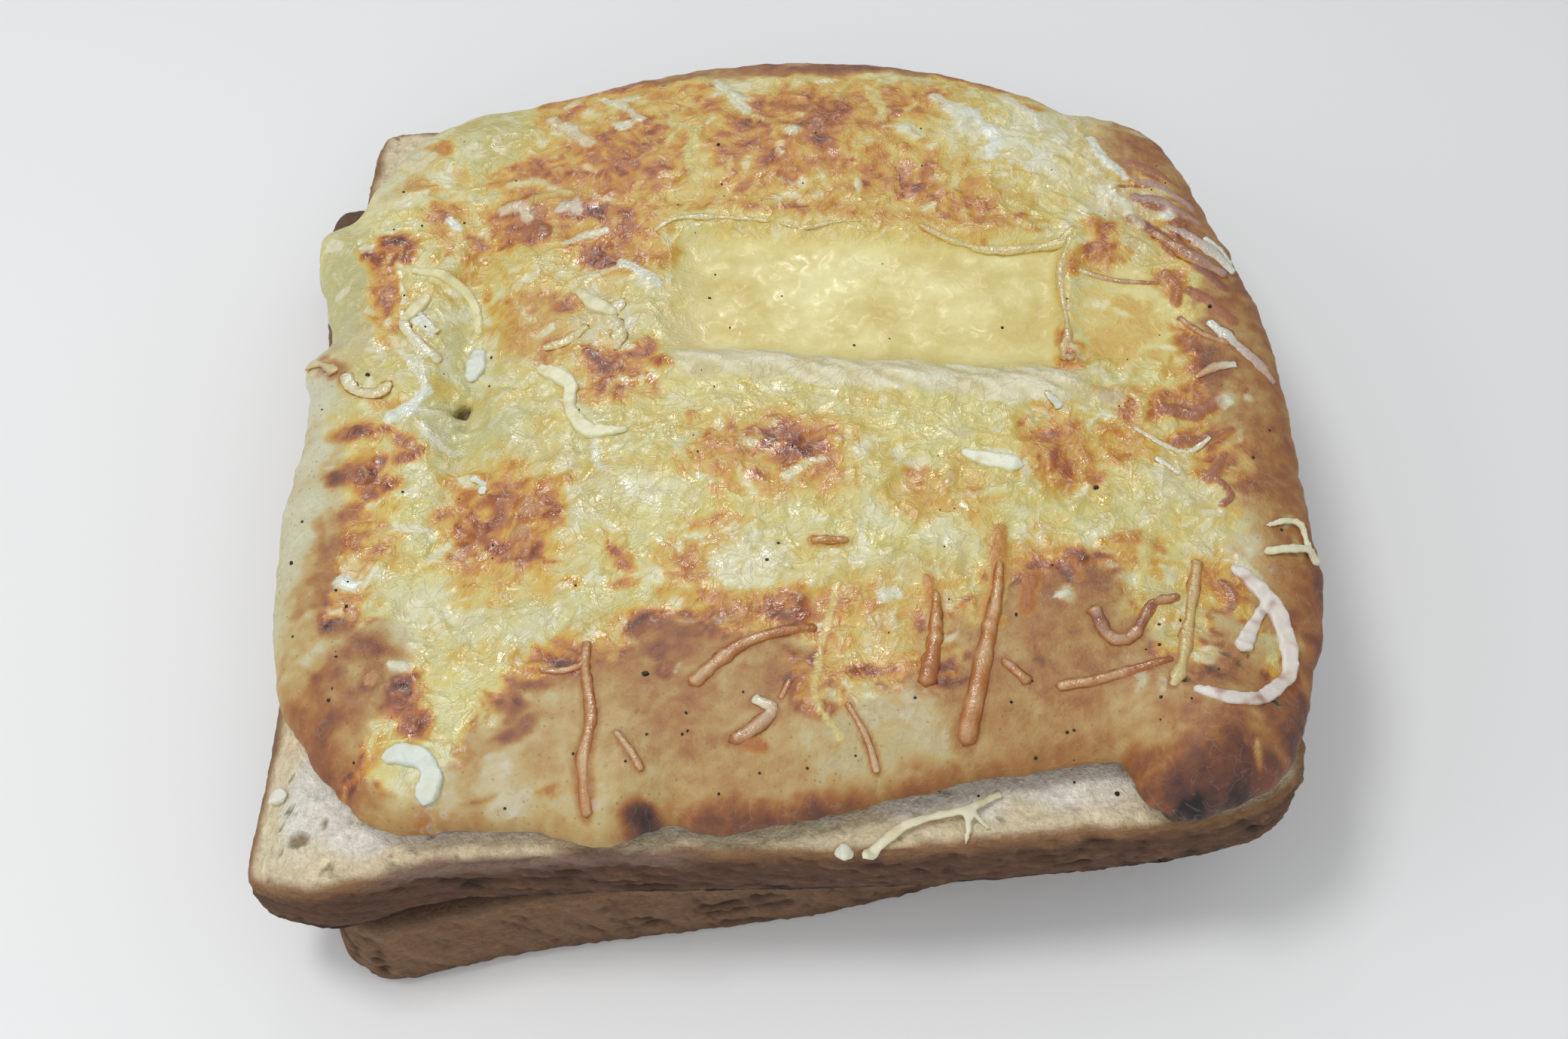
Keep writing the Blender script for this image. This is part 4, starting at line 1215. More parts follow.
upperRoughness = {"size": 3.4, "stretch": 3.0, "height": 0.5}
lowerRoughness = {"size": 2.2, "stretch": 1.1, "height": 0.5}
upperBread, places, tone = makeSlice(
    "upper_slice_bread", upperOutline, True, 101, upperRoughness, crustTones["mid"]
)
places[:, 2] += upperBase - upperDroop(places[:, 0], places[:, 1])
finishSlice(upperBread, places, tone)

lowerBread, places, tone = makeSlice(
    "lower_slice_bread", lowerOutline, False, 201, lowerRoughness, crustTones["underside"]
)
turned = np.array([[math.cos(lowerTurn), -math.sin(lowerTurn)], [math.sin(lowerTurn), math.cos(lowerTurn)]])
tone = mixTone(tone, crustTones["light"], 0.55 * smoothstep(places[:, 2], 7.5, 11.5))
tone = mixTone(tone, crustTones["foot"], 0.6 * smoothstep(4.0 - places[:, 2], 0, 4))
places[:, :2] = places[:, :2] @ turned.T + lowerShift
finishSlice(lowerBread, places, tone)
print("slices made")


# strands of cheese: tubes that follow what they lie on
def treeOver(*pieces):
    verts, faces = [], []
    for piece in pieces:
        polygons = piece.data.polygons
        first = len(verts)
        verts += (getPlaces(piece.data) / mm - layoutShift).tolist()
        faces += [[k + first for k in polygon.vertices] for polygon in polygons if len(polygon.vertices) < 5]
    return BVHTree.FromPolygons(verts, faces)


restingTree = treeOver(layer, upperBread)


def surfaceAt(x, y):
    found = restingTree.ray_cast(Vector((x, y, 60)), Vector((0, 0, -1)))[0]
    return found.z if found is not None else upperTop


def tubeAlong(points, look, seed):  # points of x, y and radius; share runs from 0 to 1 along the tube
    run = smoothRun(points, look.get("steps", 5))
    rng = np.random.default_rng(seed)
    sides, flat = look.get("sides", 10), look.get("flat", 0.7)
    lift = look.get("lift", 0.2)
    heights = np.array([surfaceAt(x, y) for x, y, radius in run])
    for _ in range(2):
        heights[1:-1] = (heights[:-2] + 2 * heights[1:-1] + heights[2:]) / 4
    radii = run[:, 2] * (1 + look.get("uneven", 0.22) * rng.normal(0, 1, len(run)))
    if len(run) > 3:
        radii[1:-1] = (radii[:-2] + radii[1:-1] * 2 + radii[2:]) / 4
    centres = np.column_stack([run[:, :2], heights + radii * flat * lift])
    lifts = look.get("rise", [0])
    centres[:, 2] += np.interp(np.linspace(0, 1, len(run)), np.linspace(0, 1, len(lifts)), lifts)
    along = np.gradient(centres, axis=0)
    along /= np.linalg.norm(along, axis=1, keepdims=True) + 1e-9
    side = np.cross(along, (0, 0, 1))
    side /= np.linalg.norm(side, axis=1, keepdims=True) + 1e-9
    up = np.cross(side, along)
    angles = 2 * math.pi * (np.arange(sides) + look.get("turn", 0)) / sides
    rough = 1 + look.get("jitter", 0.1) * rng.normal(0, 1, (len(run), sides))
    places = (
        centres[:, None]
        + side[:, None] * (np.cos(angles)[None, :, None] * (radii[:, None] * rough)[..., None])
        + up[:, None] * (np.sin(angles)[None, :, None] * (radii[:, None] * rough * flat)[..., None])
    ).reshape(-1, 3)
    tips = [centres[0] - along[0] * radii[0] * 0.7, centres[-1] + along[-1] * radii[-1] * 0.7]
    count, total = len(run), len(run) * sides
    faces = []
    for k in range(count - 1):
        for m in range(sides):
            n = (m + 1) % sides
            faces.append((k * sides + m, k * sides + n, (k + 1) * sides + n, (k + 1) * sides + m))
    for m in range(sides):
        n = (m + 1) % sides
        faces.append((total, n, m))
        faces.append((total + 1, (count - 1) * sides + m, (count - 1) * sides + n))
    share = np.concatenate([np.repeat(np.linspace(0, 1, count), sides), [0, 1]])
    crown = np.concatenate([np.tile(np.sin(angles), count), [0, 0]])
    return np.vstack([places, tips]), faces, share, crown


def gather(tubes):  # several tubes as one set of places and faces
    places, faces, count = [], [], 0
    for tubePlaces, tubeFaces in tubes:
        places.append(tubePlaces)
        faces += [tuple(k + count for k in face) for face in tubeFaces]
        count += len(tubePlaces)
    return np.vstack(places), faces


def outwards(piece):
    deselectAll()
    piece.select_set(True)
    bpy.context.view_layer.objects.active = piece
    bpy.ops.object.mode_set(mode="EDIT")
    bpy.ops.mesh.select_all(action="SELECT")
    bpy.ops.mesh.normals_make_consistent(inside=False)
    bpy.ops.object.mode_set(mode="OBJECT")


def makeMelted():
    tubes, over, covered, browning = [], [], [], []

    def add(points, startTone, endTone, look, seed):
        places, faces, share, crown = tubeAlong(points, look, seed)
        cover, brown = look.get("cover", 0.85), look.get("brown", 0.7)
        tubes.append((places, faces))
        tone = np.array(startTone, float) + (np.array(endTone, float) - startTone) * share[:, None]
        length = len(points) * 3
        paler = gradientNoise(share * length, share * 0 + seed, 1.6, 330)
        paler = smoothstep(paler + 0.6 * crown, 0.15, 0.85)
        over.append(mixTone(tone, np.maximum(tone, strandGlint), 0.75 * paler * (cover > 0.5)))
        brownness = smoothstep(190 - over[-1][:, 2], 20, 90)
        over[-1] = mixTone(over[-1], strandGlaze, 0.9 * brownness * smoothstep(1.0 - crown, 0, 0.75))
        covered.append(cover * smoothstep(crown, 0.0, 0.9))
        browning.append(brown * smoothstep(0.8 - crown, 0, 1))

    for k, (look, startTone, endTone, *points) in enumerate(meltedStrands):
        finer = [(x, y, radius * strandScale) for x, y, radius in points]
        add(finer, tones[startTone], tones[endTone], look, 300 + k)
    places, faces = gather(tubes)
    piece = meshPiece("melted_shreds", places, faces)
    outwards(piece)
    x, y = places[:, 0], places[:, 1]
    setTones(piece.data, readCanvas(ground, x, y), np.full(len(x), 0.8))
    setBaking(
        piece.data, np.maximum(readCanvas(browned, x, y), np.concatenate(browning)), readCanvas(skin, x, y),
        readCanvas(white, x, y), np.zeros(len(x)), np.vstack(over), np.concatenate(covered),
    )
    return piece


melted = makeMelted()
print("melted strands:", len(melted.data.polygons), "faces")

# strands large enough to be pieces of their own: the part's own routes
looseStrands = {
    "cheese_curl": [[(-30.2, 5.6, 1.1), (-27.8, 4.2, 1.8), (-26.1, 2.6, 1.5), (-26, -0.4, 1.2),
                     (-25.2, -3, 1.3), (-22.8, -5.4, 1.6), (-18.6, -5.3, 0.8)]],
    "cheese_arch": [[(-48.5, 23.6, 0.9), (-45.9, 23.3, 1.2), (-42.8, 21.9, 1.2), (-40.6, 19.8, 1.1),
                     (-39.6, 16.8, 1.1), (-39.3, 14.2, 0.9)]],
    "cheese_arch_leg": [[(-46.2, 19.0, 0.9), (-47.3, 16.8, 1.2), (-48.8, 14.6, 1.0)]],
    "cheese_wedge": [[(-25.9, 19.5, 0.8), (-23.6, 16.6, 1.6), (-21.1, 15.4, 1.0)]],
    "cheese_block": [[(-38.8, 10.8, 1.2), (-39, 8.5, 1.6), (-39.5, 6.2, 1.2)]],
    "cheese_stub": [[(23.4, -10, 0.8), (26, -11.3, 1.5), (29.6, -12.5, 1.5)]],
    "cheese_lump": [[(-43.4, -51.3, 1.2), (-41.6, -51.2, 1.7), (-39.4, -51.8, 1.5), (-38.3, -54, 1.6),
                     (-39, -56, 1.7)]],
    "cheese_loop": [
        [(54.1, -27.9, 0.9), (55.9, -30, 1.3), (57.8, -33.2, 1.5), (58.6, -36.4, 1.5), (58.8, -40, 1.5),
         (58.2, -43, 1.3)],
        [(46.9, -45.8, 0.9), (50.8, -47.2, 1.2), (54.4, -46.4, 1.2), (58, -43.2, 1.1)],
        [(57.2, -32.9, 0.8), (55.6, -35.5, 1.0), (53.4, -39.4, 1.4)],
    ],
    "cheese_tab": [
        [(58.2, -25.9, 0.8), (60.8, -25.5, 0.9), (63.6, -25, 0.9), (64.6, -26, 0.8)],
        [(59.2, -21.9, 0.6), (61.8, -21.1, 0.7), (63.4, -21.6, 0.7), (63.9, -24.8, 0.6)],
    ],
    "cheese_fork": [
        [(9.4, -61, 1.15), (11.5, -59.3, 1.2), (14.1, -57.4, 1.1), (17.4, -56.4, 1.0), (21, -55.7, 1.0),
         (23.4, -54.4, 0.9), (25.2, -53.4, 0.7)],
        [(21.2, -55.8, 0.8), (21.2, -57.8, 0.8), (20.8, -59.5, 0.5)],
        [(21.8, -56, 0.7), (23.6, -57.7, 0.7)],
    ],
    "cheese_bead": [[(6.4, -60.2, 0.7), (7.2, -60.2, 1.1), (8, -60.2, 0.7)]],
    "cheese_bead_left": [[(-57, -51.5, 0.8), (-57.8, -51.3, 1.2), (-58.6, -51.1, 0.8)]],
}
looseScale = {
    "cheese_loop": 0.8, "cheese_tab": 0.72, "cheese_arch": 0.72, "cheese_arch_leg": 0.86, "cheese_curl": 0.72,
    "cheese_fork": 0.58, "cheese_bead": 1, "cheese_bead_left": 1,
    "others": 0.84,
}
looseSwell = 1.25  # makes up for what smoothing takes off
looseDents = 0.13
looseShade = {
    "others": (204, 190, 138), "cheese_loop": (168, 124, 108), "cheese_lump": (214, 210, 176),
    "cheese_fork": (214, 202, 158),
}
looseRise = {  # how far each of its runs stands off what it lies on
    "cheese_fork": [[0, 0.2, 0.5, 0.8, 1, 0.5, 0.2], [1.0, 0.5, 0.1], [1.0, 0.5, 0.2]],
    "cheese_tab": [[0, 0.4, 0.6, 0], [0, 0.4, 0.6, 0]],
}
looseTube = {"flat": 0.5, "sides": 4, "turn": 0.5, "steps": 8, "uneven": 0.08, "jitter": 0.02}
looseRemesh = 0.24  # size of the cells that a strand's skin is made anew from
looseLook = {  # tone, and how high it lies
    "cheese_arch": ((222, 214, 160), 0.05), "cheese_arch_leg": ((224, 216, 170), 0.1),
    "cheese_curl": ((228, 225, 188), 0.3), "cheese_wedge": ((222, 216, 176), 0.3),
    "cheese_block": ((216, 220, 206), 0.25), "cheese_stub": ((228, 230, 206), 0.2),
    "cheese_lump": ((218, 225, 214), 0.3), "cheese_loop": ((222, 214, 204), 0.2),
    "cheese_tab": ((224, 220, 190), 0.6), "cheese_fork": ((226, 222, 192), 0.9),
    "cheese_bead": ((224, 224, 204), 0.9), "cheese_bead_left": ((224, 226, 212), 0.9),
}


def applyModifier(piece, kind, **settings):
    deselectAll()
    piece.select_set(True)
    bpy.context.view_layer.objects.active = piece
    modifier = piece.modifiers.new(kind, kind)
    for label, value in settings.items():
        setattr(modifier, label, value)
    bpy.ops.object.modifier_apply(modifier=modifier.name)


def makeLoose(name, runs, seed):
    tone, lift = looseLook[name]
    tubes = []
    rises = looseRise.get(name, [[0]] * len(runs))
    for k, run in enumerate(runs):
        scale = looseScale.get(name, looseScale["others"])
        finer = [(x, y, radius * looseSwell * scale) for x, y, radius in run]
        tubes.append(tubeAlong(finer, looseTube | {"lift": lift, "rise": rises[k]}, seed + k)[:2])
    places, faces = gather(tubes)
    piece = meshPiece(name + "_strand", places, faces)
    outwards(piece)
    applyModifier(piece, "REMESH", mode="VOXEL", voxel_size=looseRemesh * mm, use_smooth_shade=True)
    applyModifier(piece, "SMOOTH", factor=0.5, iterations=4)
    spots = getPlaces(piece.data) / mm - layoutShift
    normals = np.empty(len(spots) * 3, np.float32)
    piece.data.vertex_normals.foreach_get("vector", normals)
    dents = roughNoise(spots[:, 0] + spots[:, 2], spots[:, 1] - spots[:, 2], 1.3, seed, 3)
    spots += normals.reshape(-1, 3) * (looseDents * dents)[:, None]
    setPlaces(piece.data, spots)
    shade = roughNoise(spots[:, 0], spots[:, 1], 2.2, seed + 9, 2)
    tone = np.tile(np.array(tone, float), (len(spots), 1))
    tone = mixTone(tone, looseShade.get(name, looseShade["others"]), 0.9 * smoothstep(shade, 0, 0.8))
    setTones(piece.data, tone, np.full(len(spots), 0.55))
    piece.data.shade_smooth()
    return piece


loosePieces = {}
for k, (name, runs) in enumerate(looseStrands.items()):
    loosePieces[name] = makeLoose(name, runs, 500 + 10 * k)
print("loose strands made")

pepperLook = {"radius": (0.13, 0.21), "fine": 60, "fineRadius": (0.08, 0.14), "tone": (30, 23, 17)}


def makePepper():  # each fleck is a crumpled little ball
    rng = np.random.default_rng(31)
    deselectAll()
    bpy.ops.mesh.primitive_ico_sphere_add(subdivisions=2, radius=1)
    ball = bpy.context.active_object
    shape = getPlaces(ball.data)
    facets = [tuple(polygon.vertices) for polygon in ball.data.polygons]
    bpy.data.objects.remove(ball)
    flecks = []
    spots = [(x, y, bigPepper.get((x, y), rng.uniform(*pepperLook["radius"]))) for x, y in pepperSpots]
    for _ in range(pepperLook["fine"]):
        spots.append((rng.uniform(-52, 56), rng.uniform(-52, 52), rng.uniform(*pepperLook["fineRadius"])))
    for x, y, radius in spots:
        stretch = rng.uniform(0.7, 1.35, 3) * radius
        turn = rng.uniform(0, math.pi)
        c, s = math.cos(turn), math.sin(turn)
        places = shape * stretch * rng.uniform(0.8, 1.2, (len(shape), 1))
        flatX, flatY, height = places.T
        places = np.column_stack([flatX * c - flatY * s, flatX * s + flatY * c, height])
        flecks.append((places + (x, y, surfaceAt(x, y) + 0.02), facets))
    return meshPiece("pepper_flecks", *gather(flecks))


pepper = makePepper()
pepperCount = len(pepper.data.vertices)
setTones(pepper.data, np.tile(pepperLook["tone"], (pepperCount, 1)), np.full(pepperCount, 0.2))


# materials
def newGroup(name, inputs, outputs):  # the group, what it is given, what it gives, and the place on the piece
    group = bpy.data.node_groups.new(name, "ShaderNodeTree")
    for label, kind, value in inputs:
        socket = group.interface.new_socket(name=label, in_out="INPUT", socket_type="NodeSocket" + kind)
        socket.default_value = value
    for label, kind in outputs:
        group.interface.new_socket(name=label, in_out="OUTPUT", socket_type="NodeSocket" + kind)
    given = group.nodes.new("NodeGroupInput").outputs
    result = group.nodes.new("NodeGroupOutput").inputs
    return group, given, result, group.nodes.new("ShaderNodeTexCoord").outputs["Object"]


def setInput(tree, socket, value):
    if isinstance(value, bpy.types.NodeSocket):
        tree.links.new(value, socket)
    else:
        socket.default_value = value


def mathNode(tree, operation, *values):
    node = tree.nodes.new("ShaderNodeMath")
    node.operation = operation
    for socket, value in zip(node.inputs, values):
        setInput(tree, socket, value)
    return node.outputs[0]


def vectorNode(tree, operation, *values):
    node = tree.nodes.new("ShaderNodeVectorMath")
    node.operation = operation
    for socket, value in zip(node.inputs, values):
        setInput(tree, socket, value)
    return node.outputs[0]


def scaledTone(tree, tone, share):
    scaled = vectorNode(tree, "SCALE", tone)
    tree.links.new(share, scaled.node.inputs["Scale"])
    return scaled


def rangeNode(tree, value, low, high, toLow=0.0, toHigh=1.0):
    node = tree.nodes.new("ShaderNodeMapRange")
    node.interpolation_type = "SMOOTHSTEP"
    labels = ("Value", "From Min", "From Max", "To Min", "To Max")
    for label, given in zip(labels, (value, low, high, toLow, toHigh)):
        setInput(tree, node.inputs[label], given)
    return node.outputs["Result"]


def mixNode(tree, share, first, second):
    node = tree.nodes.new("ShaderNodeMix")
    node.data_type = "RGBA"
    setInput(tree, node.inputs["Factor"], share)
    for label, given in (("A", first), ("B", second)):
        socket = next(s for s in node.inputs if s.name == label and s.type == "RGBA")
        setInput(tree, socket, given)
    return next(s for s in node.outputs if s.type == "RGBA")


def linearColour(tone):
    return (*toLinear(tone), 1)


def rampNode(tree, value, stops, span):
    node = tree.nodes.new("ShaderNodeValToRGB")
    ramp = node.color_ramp
    levels = sorted(stops)
    while len(ramp.elements) < len(levels):
        ramp.elements.new(0.5)
    for element, level in zip(ramp.elements, levels):
        element.position = level / span
        element.color = linearColour(stops[level])
    setInput(tree, node.inputs["Fac"], value)
    return node.outputs["Color"]


def noiseNode(tree, place, size, detail, swirl=0.0, rough=0.55):
    node = tree.nodes.new("ShaderNodeTexNoise")
    tree.links.new(place, node.inputs["Vector"])
    values = {"Scale": 1 / (size * mm), "Detail": detail, "Roughness": rough, "Distortion": swirl}
    for label, value in values.items():
        node.inputs[label].default_value = value
    return node.outputs["Fac"]


def centredNoise(tree, place, *look):
    return mathNode(tree, "SUBTRACT", noiseNode(tree, place, *look), 0.5)


def attributeNode(tree, name):
    node = tree.nodes.new("ShaderNodeAttribute")
    node.attribute_name = name
    return node


grainLook = {"coarse": (1.5, 6, 0.8, 0.68), "fine": (0.4, 3, 0.2), "fineHeight": 0.35}


def makeGrainGroup():  # fine uneven tone, and its height; Layers draws the grain out level
    group, given, result, place = newGroup(
        "fine_grain",
        [("Tone", "Color", (1, 1, 1, 1)), ("Coarse", "Float", 0.2), ("Fine", "Float", 0.1),
         ("Layers", "Float", 1.0)],
        [("Tone", "Color"), ("Height", "Float")],
    )
    stretch = group.nodes.new("ShaderNodeCombineXYZ")
    stretch.inputs["X"].default_value = stretch.inputs["Y"].default_value = 1
    group.links.new(given["Layers"], stretch.inputs["Z"])
    place = vectorNode(group, "MULTIPLY", place, stretch.outputs[0])
    coarseNoise = noiseNode(group, place, *grainLook["coarse"])
    fineNoise = noiseNode(group, place, *grainLook["fine"])
    swing = 1.0
    for noise, gain in ((coarseNoise, given["Coarse"]), (fineNoise, given["Fine"])):
        swing = mathNode(group, "MULTIPLY_ADD", mathNode(group, "SUBTRACT", noise, 0.5), gain, swing)
    group.links.new(scaledTone(group, given["Tone"], swing), result["Tone"])
    height = mathNode(group, "MULTIPLY_ADD", fineNoise, grainLook["fineHeight"], coarseNoise)
    group.links.new(height, result["Height"])
    return group


bakedLook = {  # sizes in millimetres; a noise is its size, detail, swirl and roughness
    "fibre": (2.1, 4, 1.0), "grain": (0.5, 3, 0.3), "string": (4.2, 2, 1.4, 0.5), "stringHalf": 0.02,
    "warpSize": 4, "warpReach": 2.4, "streakLength": 6, "speckSize": 1.2, "rough": (0.62, 0.17),
    "milky": (226, 222, 190), "golden": (200, 168, 92), "strings": (228, 222, 188), "specks": (120, 84, 56),
    "paleCheese": (224, 221, 188), "paleSkin": (208, 204, 182),
}
streaks = [(15, 1.15), (75, 1.15), (135, 1.05)]  # turn and thickness
streakPicks = [(5.0, 0.46, 0.54), (7.0, 0.5, 0.58)]  # the noise that picks the next streak: size, from and to


def streakNode(tree, place, angle, thin):  # noise drawn out one way
    node = tree.nodes.new("ShaderNodeMapping")
    node.vector_type = "TEXTURE"
    node.inputs["Rotation"].default_value = (0, 0, math.radians(angle))
    node.inputs["Scale"].default_value = (bakedLook["streakLength"], thin, thin)
    tree.links.new(place, node.inputs["Vector"])
    return centredNoise(tree, node.outputs[0], 1, 2)


def meltedStreaks(tree, place):  # drawn-out streaks that turn from place to place
    streak = streakNode(tree, place, *streaks[0])
    for (size, low, high), look in zip(streakPicks, streaks[1:]):
        picked = rangeNode(tree, noiseNode(tree, place, size, 1), low, high)
        change = mathNode(tree, "SUBTRACT", streakNode(tree, place, *look), streak)
        streak = mathNode(tree, "MULTIPLY_ADD", change, picked, streak)
    return streak


def makeBakedGroup():  # browning, pale spots and fine strings over the layer's own tone
    group, given, result, place = newGroup(
        "baked_surface",
        [("Tone", "Color", (1, 1, 1, 1)), ("Baking", "Color", (0, 0, 0, 1)), ("Over", "Color", (0, 0, 0, 1)),
         ("Covered", "Float", 0.0), ("Evenness", "Float", 0.0), ("Gloss", "Float", 0.5)],
        [("Tone", "Color"), ("Height", "Float"), ("Rough", "Float")],
    )
    look = bakedLook

    def times(first, second):
        return mathNode(group, "MULTIPLY", first, second)

    def fused(value, gain, base):
        return mathNode(group, "MULTIPLY_ADD", value, gain, base)

    def tinted(tone, share, look):
        return mixNode(group, share, tone, linearColour(bakedLook[look]))

    parts = group.nodes.new("ShaderNodeSeparateColor")
    group.links.new(given["Baking"], parts.inputs[0])
    browning, skinShare, whiteness = (parts.outputs[label] for label in ("Red", "Green", "Blue"))
    cheeseShare = mathNode(group, "SUBTRACT", 1.0, skinShare)
    noises = (centredNoise(group, place, *look[label]) for label in ("fibre", "grain", "string"))
    fibre, grain, string = noises
    string = rangeNode(group, mathNode(group, "ABSOLUTE", string), 0.0, look["stringHalf"], 1.0, 0.0)
    warp = group.nodes.new("ShaderNodeTexNoise")
    warp.inputs["Scale"].default_value = 1 / (look["warpSize"] * mm)
    group.links.new(place, warp.inputs["Vector"])
    reach = look["warpReach"] * mm
    warped = vectorNode(group, "MULTIPLY_ADD", warp.outputs["Color"], (reach, reach, reach), place)
    lively = mathNode(group, "SUBTRACT", 1.0, times(given["Evenness"], 0.9))
    lively = times(lively, fused(cheeseShare, 0.75, 0.25))
    streak = times(meltedStreaks(group, warped), lively)

    # browning
    gain = times(fused(browning, 0.5, 0.1), fused(cheeseShare, 0.65, 0.35))
    browner = fused(grain, 0.07, fused(fibre, gain, browning))
    browner = fused(streak, fused(browning, 0.7, 0.1), browner)
    ramps = [rampNode(group, browner, ramp, burntLevel) for ramp in (cheeseBrowning, skinBrowning)]
    swing = fused(fibre, 0.2, fused(grain, fused(skinShare, 0.36, 0.14), 1.0))
    tone = mixNode(
        group, rangeNode(group, browner, 0.01, 0.17), scaledTone(group, given["Tone"], swing),
        mixNode(group, skinShare, *ramps),
    )

    # streaks, pale spots, strings, specks, and the tones of single strands
    milky = times(rangeNode(group, streak, 0.03, 0.2, 0.0, 0.4), cheeseShare)
    tone = tinted(tone, times(milky, rangeNode(group, browning, 0.08, 0.3, 1.0, 0.0)), "milky")
    tone = tinted(tone, times(rangeNode(group, streak, -0.2, -0.03, 0.3, 0.0), cheeseShare), "golden")
    paler = fused(fibre, 0.7, fused(streak, 0.8, whiteness))
    paleTone = mixNode(group, skinShare, *(linearColour(look[label]) for label in ("paleCheese", "paleSkin")))
    tone = mixNode(group, rangeNode(group, paler, 0.26, 0.7, 0.0, 0.8), tone, paleTone)
    stringShare = times(times(string, 0.3), lively)
    tone = tinted(tone, stringShare, "strings")
    speck = group.nodes.new("ShaderNodeTexVoronoi")
    speck.inputs["Scale"].default_value = 1 / (look["speckSize"] * mm)
    group.links.new(place, speck.inputs["Vector"])
    speckShare = rangeNode(group, speck.outputs["Distance"], 0.06, 0.2, 0.42, 0.0)
    tone = tinted(tone, times(speckShare, skinShare), "specks")
    covered = fused(grain, 0.5, fused(fibre, 0.4, given["Covered"]))
    tone = mixNode(group, rangeNode(group, covered, 0.12, 0.7), tone, scaledTone(group, given["Over"], swing))
    group.links.new(tone, result["Tone"])

    # height and roughness
    uneven = times(fibre, fused(given["Evenness"], -0.8, 1.0))
    height = fused(uneven, fused(cheeseShare, 1.0, 0.15), 0.5)
    height = fused(grain, fused(skinShare, 0.3, 0.1), height)
    for line in (stringShare, streak):
        height = fused(line, 0.5, height)
    group.links.new(height, result["Height"])
    oily = fused(fibre, 1.8, given["Gloss"])
    group.links.new(rangeNode(group, oily, 0.25, 1.1, *look["rough"]), result["Rough"])
    return group


def startMaterial(name, group):
    material = bpy.data.materials.new(name)
    material.use_nodes = True
    tree = material.node_tree
    surface = tree.nodes.new("ShaderNodeGroup")
    surface.node_tree = group
    return material, tree, surface


def finishMaterial(tree, surface, bump, rough, subsurface, depth=0.8):
    shader = tree.nodes["Principled BSDF"]
    tree.links.new(surface.outputs["Tone"], shader.inputs["Base Color"])
    relief = tree.nodes.new("ShaderNodeBump")
    relief.inputs["Strength"].default_value = bump[0]
    relief.inputs["Distance"].default_value = bump[1] * mm
    tree.links.new(surface.outputs["Height"], relief.inputs["Height"])
    tree.links.new(relief.outputs["Normal"], shader.inputs["Normal"])
    gloss = attributeNode(tree, "gloss").outputs["Fac"]
    if rough is None:
        tree.links.new(gloss, surface.inputs["Gloss"])
        roughSocket = surface.outputs["Rough"]
    else:
        roughSocket = mathNode(tree, "MULTIPLY_ADD", gloss, rough[1] - rough[0], rough[0])
    tree.links.new(roughSocket, shader.inputs["Roughness"])
    shader.inputs["Subsurface Weight"].default_value = subsurface
    shader.inputs["Subsurface Radius"].default_value = (0.9, 0.7, 0.4)
    shader.inputs["Subsurface Scale"].default_value = depth * mm


grainGroup = makeGrainGroup()
bakedGroup = makeBakedGroup()


def bakedMaterial():
    material, tree, surface = startMaterial("baked_cheese", bakedGroup)
    for label, attribute, output in (
        ("Tone", "tone", "Color"), ("Baking", "baking", "Color"), ("Evenness", "baking", "Alpha"),
        ("Over", "over", "Color"), ("Covered", "covered", "Fac"),
    ):
        tree.links.new(attributeNode(tree, attribute).outputs[output], surface.inputs[label])
    finishMaterial(tree, surface, (0.75, 0.45), None, 0.1)
    return material


# grain, bump's strength and distance, and roughness where dull and where glossy
def plainFood(name, coarseSwing, fineSwing, bump, rough, layers=1, subsurface=0, depth=0.8):
    material, tree, surface = startMaterial(name, grainGroup)
    for label, value in (("Coarse", coarseSwing), ("Fine", fineSwing), ("Layers", layers)):
        surface.inputs[label].default_value = value
    tree.links.new(attributeNode(tree, "tone").outputs["Color"], surface.inputs["Tone"])
    finishMaterial(tree, surface, bump, rough, subsurface, depth)
    return material


cheeseMaterial = bakedMaterial()
breadMaterial = plainFood("toasted_bread", 1.05, 0.6, (0.8, 0.8), (0.9, 0.75), layers=2.4)
looseMaterial = plainFood("grated_cheese", 0.1, 0.08, (0.4, 0.2), (0.6, 0.35), subsurface=0.3, depth=1.2)
pepperMaterial = plainFood("ground_pepper", 0.8, 0.5, (0.5, 0.1), (0.7, 0.5))
dressing = [  # the piece, the node that it replaces, its slot and its material
    (layer, "baked_topping", "baked_topping", cheeseMaterial),
    (upperBread, "bread_slice_upper", "bread_upper", breadMaterial),
    (lowerBread, "bread_slice_lower", "bread_lower", breadMaterial),
    (melted, None, "baked_topping", cheeseMaterial),
    (pepper, None, "baked_topping", pepperMaterial),
]
dressing += [(piece, node, "cheese_shred", looseMaterial) for node, piece in loosePieces.items()]
for piece, node, slotName, material in dressing:
    piece.data.materials.clear()
    piece.data.materials.append(material)
    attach(piece, "root")
    if node:
        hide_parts(node)

# camera, light and floor
cameraLook = {
    "azimuth": 1.2, "elevation": 53.3, "roll": -2.2, "distance": 254.0, "lens": 43.99, "sensor": 36,
    "target": (0.8, -6.4, 15.0),
}


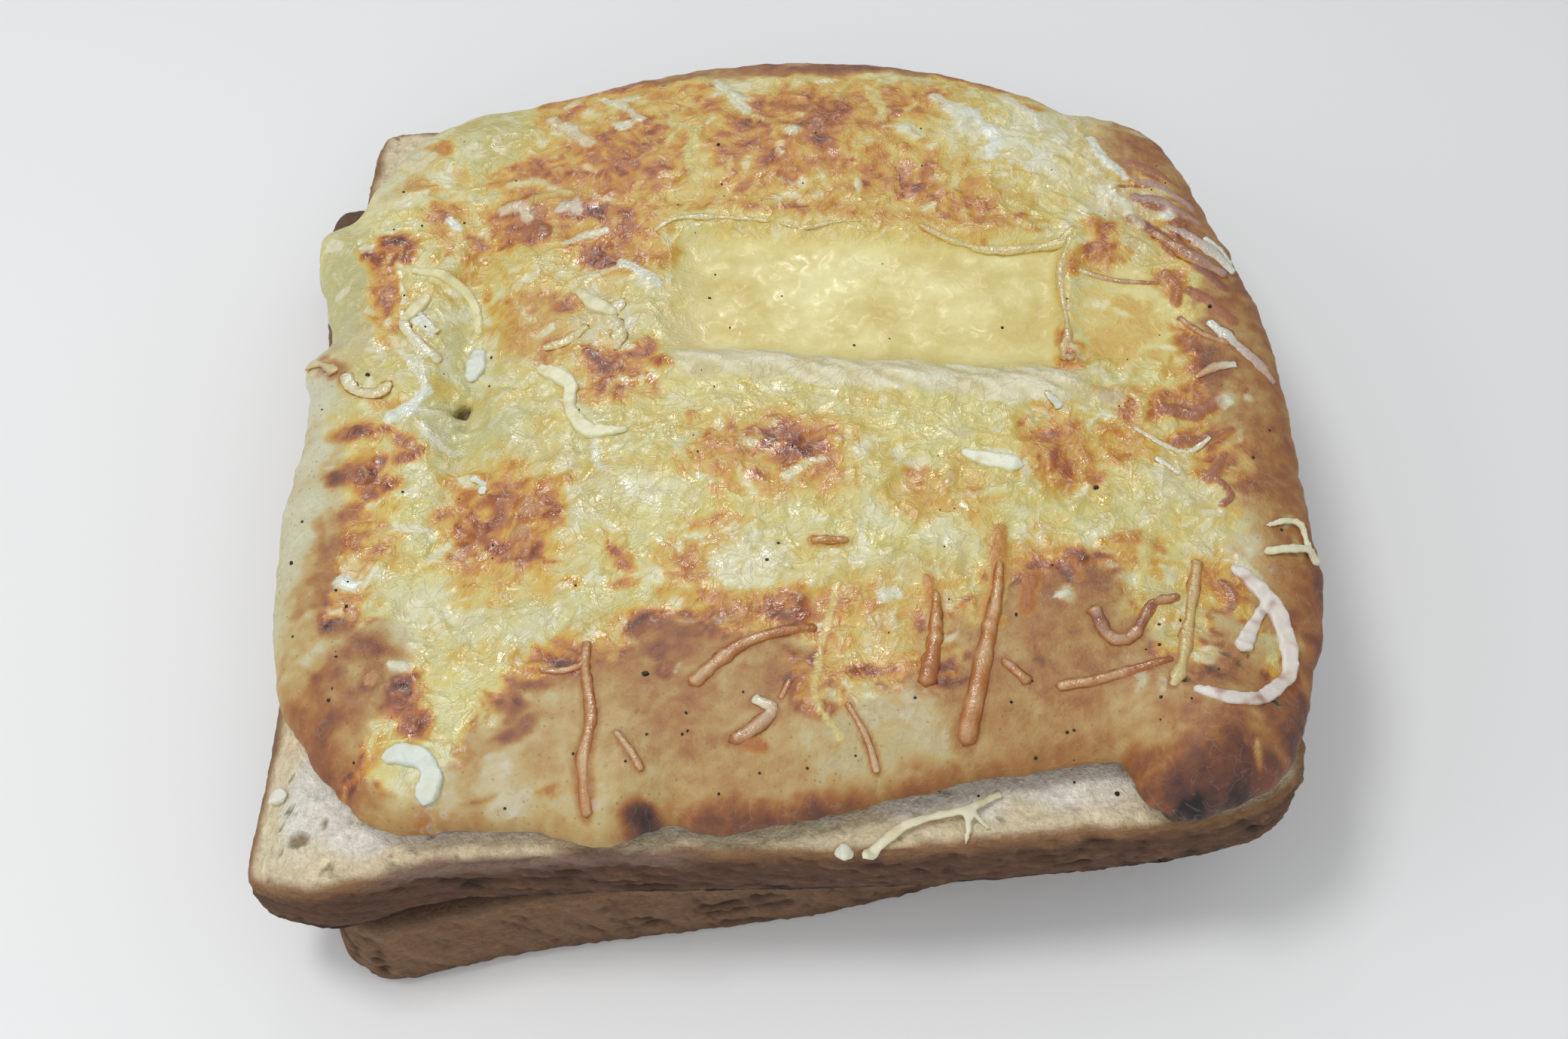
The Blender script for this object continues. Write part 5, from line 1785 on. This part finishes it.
def addCamera():
    azimuth, elevation, roll = (math.radians(cameraLook[k]) for k in ("azimuth", "elevation", "roll"))
    level = math.cos(elevation)
    back = Vector((math.sin(azimuth) * level, -math.cos(azimuth) * level, math.sin(elevation)))
    right = (-back).cross(Vector((0, 0, 1))).normalized()
    up = right.cross(-back)
    leanRight = right * math.cos(roll) + up * math.sin(roll)
    leanUp = up * math.cos(roll) - right * math.sin(roll)
    target = Vector(toWorld(np.array(cameraLook["target"])))
    lens = bpy.data.cameras.new("camera")
    lens.lens = cameraLook["lens"]
    lens.sensor_width = cameraLook["sensor"]
    lens.clip_start = 0.01
    camera = bpy.data.objects.new("camera", lens)
    bpy.context.scene.collection.objects.link(camera)
    turn = Matrix((leanRight, leanUp, back)).transposed().to_4x4()
    camera.matrix_world = Matrix.Translation(target + back * cameraLook["distance"] * mm) @ turn
    bpy.context.scene.camera = camera


lights = {  # place, size and power; the glint shows in the sheen alone
    "key": ((-0.19, -0.03, 0.56), 0.16, 0.99),
    "fill": ((0.08, -0.48, 0.48), 0.4, 0.75),
    "glint": ((-0.04, 0.36, 0.5), 0.045, 2.0),
    "side": ((-0.55, -0.1, 0.35), 0.4, 0.5),
}
studio = {"colour": (0.96, 0.98, 1.0, 1), "strength": 0.465}
floorLook = {"size": 4, "colour": (0.9, 0.9, 0.9, 1), "rough": 0.8}


def addLights():
    for name, (place, size, power) in lights.items():
        lamp = bpy.data.lights.new(name, "AREA")
        lamp.shape = "DISK"
        lamp.size = size
        lamp.energy = power
        shown = bpy.data.objects.new(name, lamp)
        bpy.context.scene.collection.objects.link(shown)
        shown.visible_diffuse = name != "glint"
        away = Vector(place)
        shown.matrix_world = Matrix.Translation(away) @ away.to_track_quat("Z", "Y").to_matrix().to_4x4()
    world = bpy.data.worlds.new("studio")
    world.use_nodes = True
    background = world.node_tree.nodes["Background"].inputs
    background["Color"].default_value = studio["colour"]
    background["Strength"].default_value = studio["strength"]
    bpy.context.scene.world = world
    bpy.context.scene.view_settings.view_transform = "Standard"


def addFloor():
    deselectAll()
    bpy.ops.mesh.primitive_plane_add(size=floorLook["size"])
    floor = bpy.context.active_object
    floor.name = "floor"
    material = bpy.data.materials.new("floor")
    material.use_nodes = True
    shader = material.node_tree.nodes["Principled BSDF"]
    shader.inputs["Base Color"].default_value = floorLook["colour"]
    shader.inputs["Roughness"].default_value = floorLook["rough"]
    floor.data.materials.append(material)


addCamera()
addLights()
addFloor()
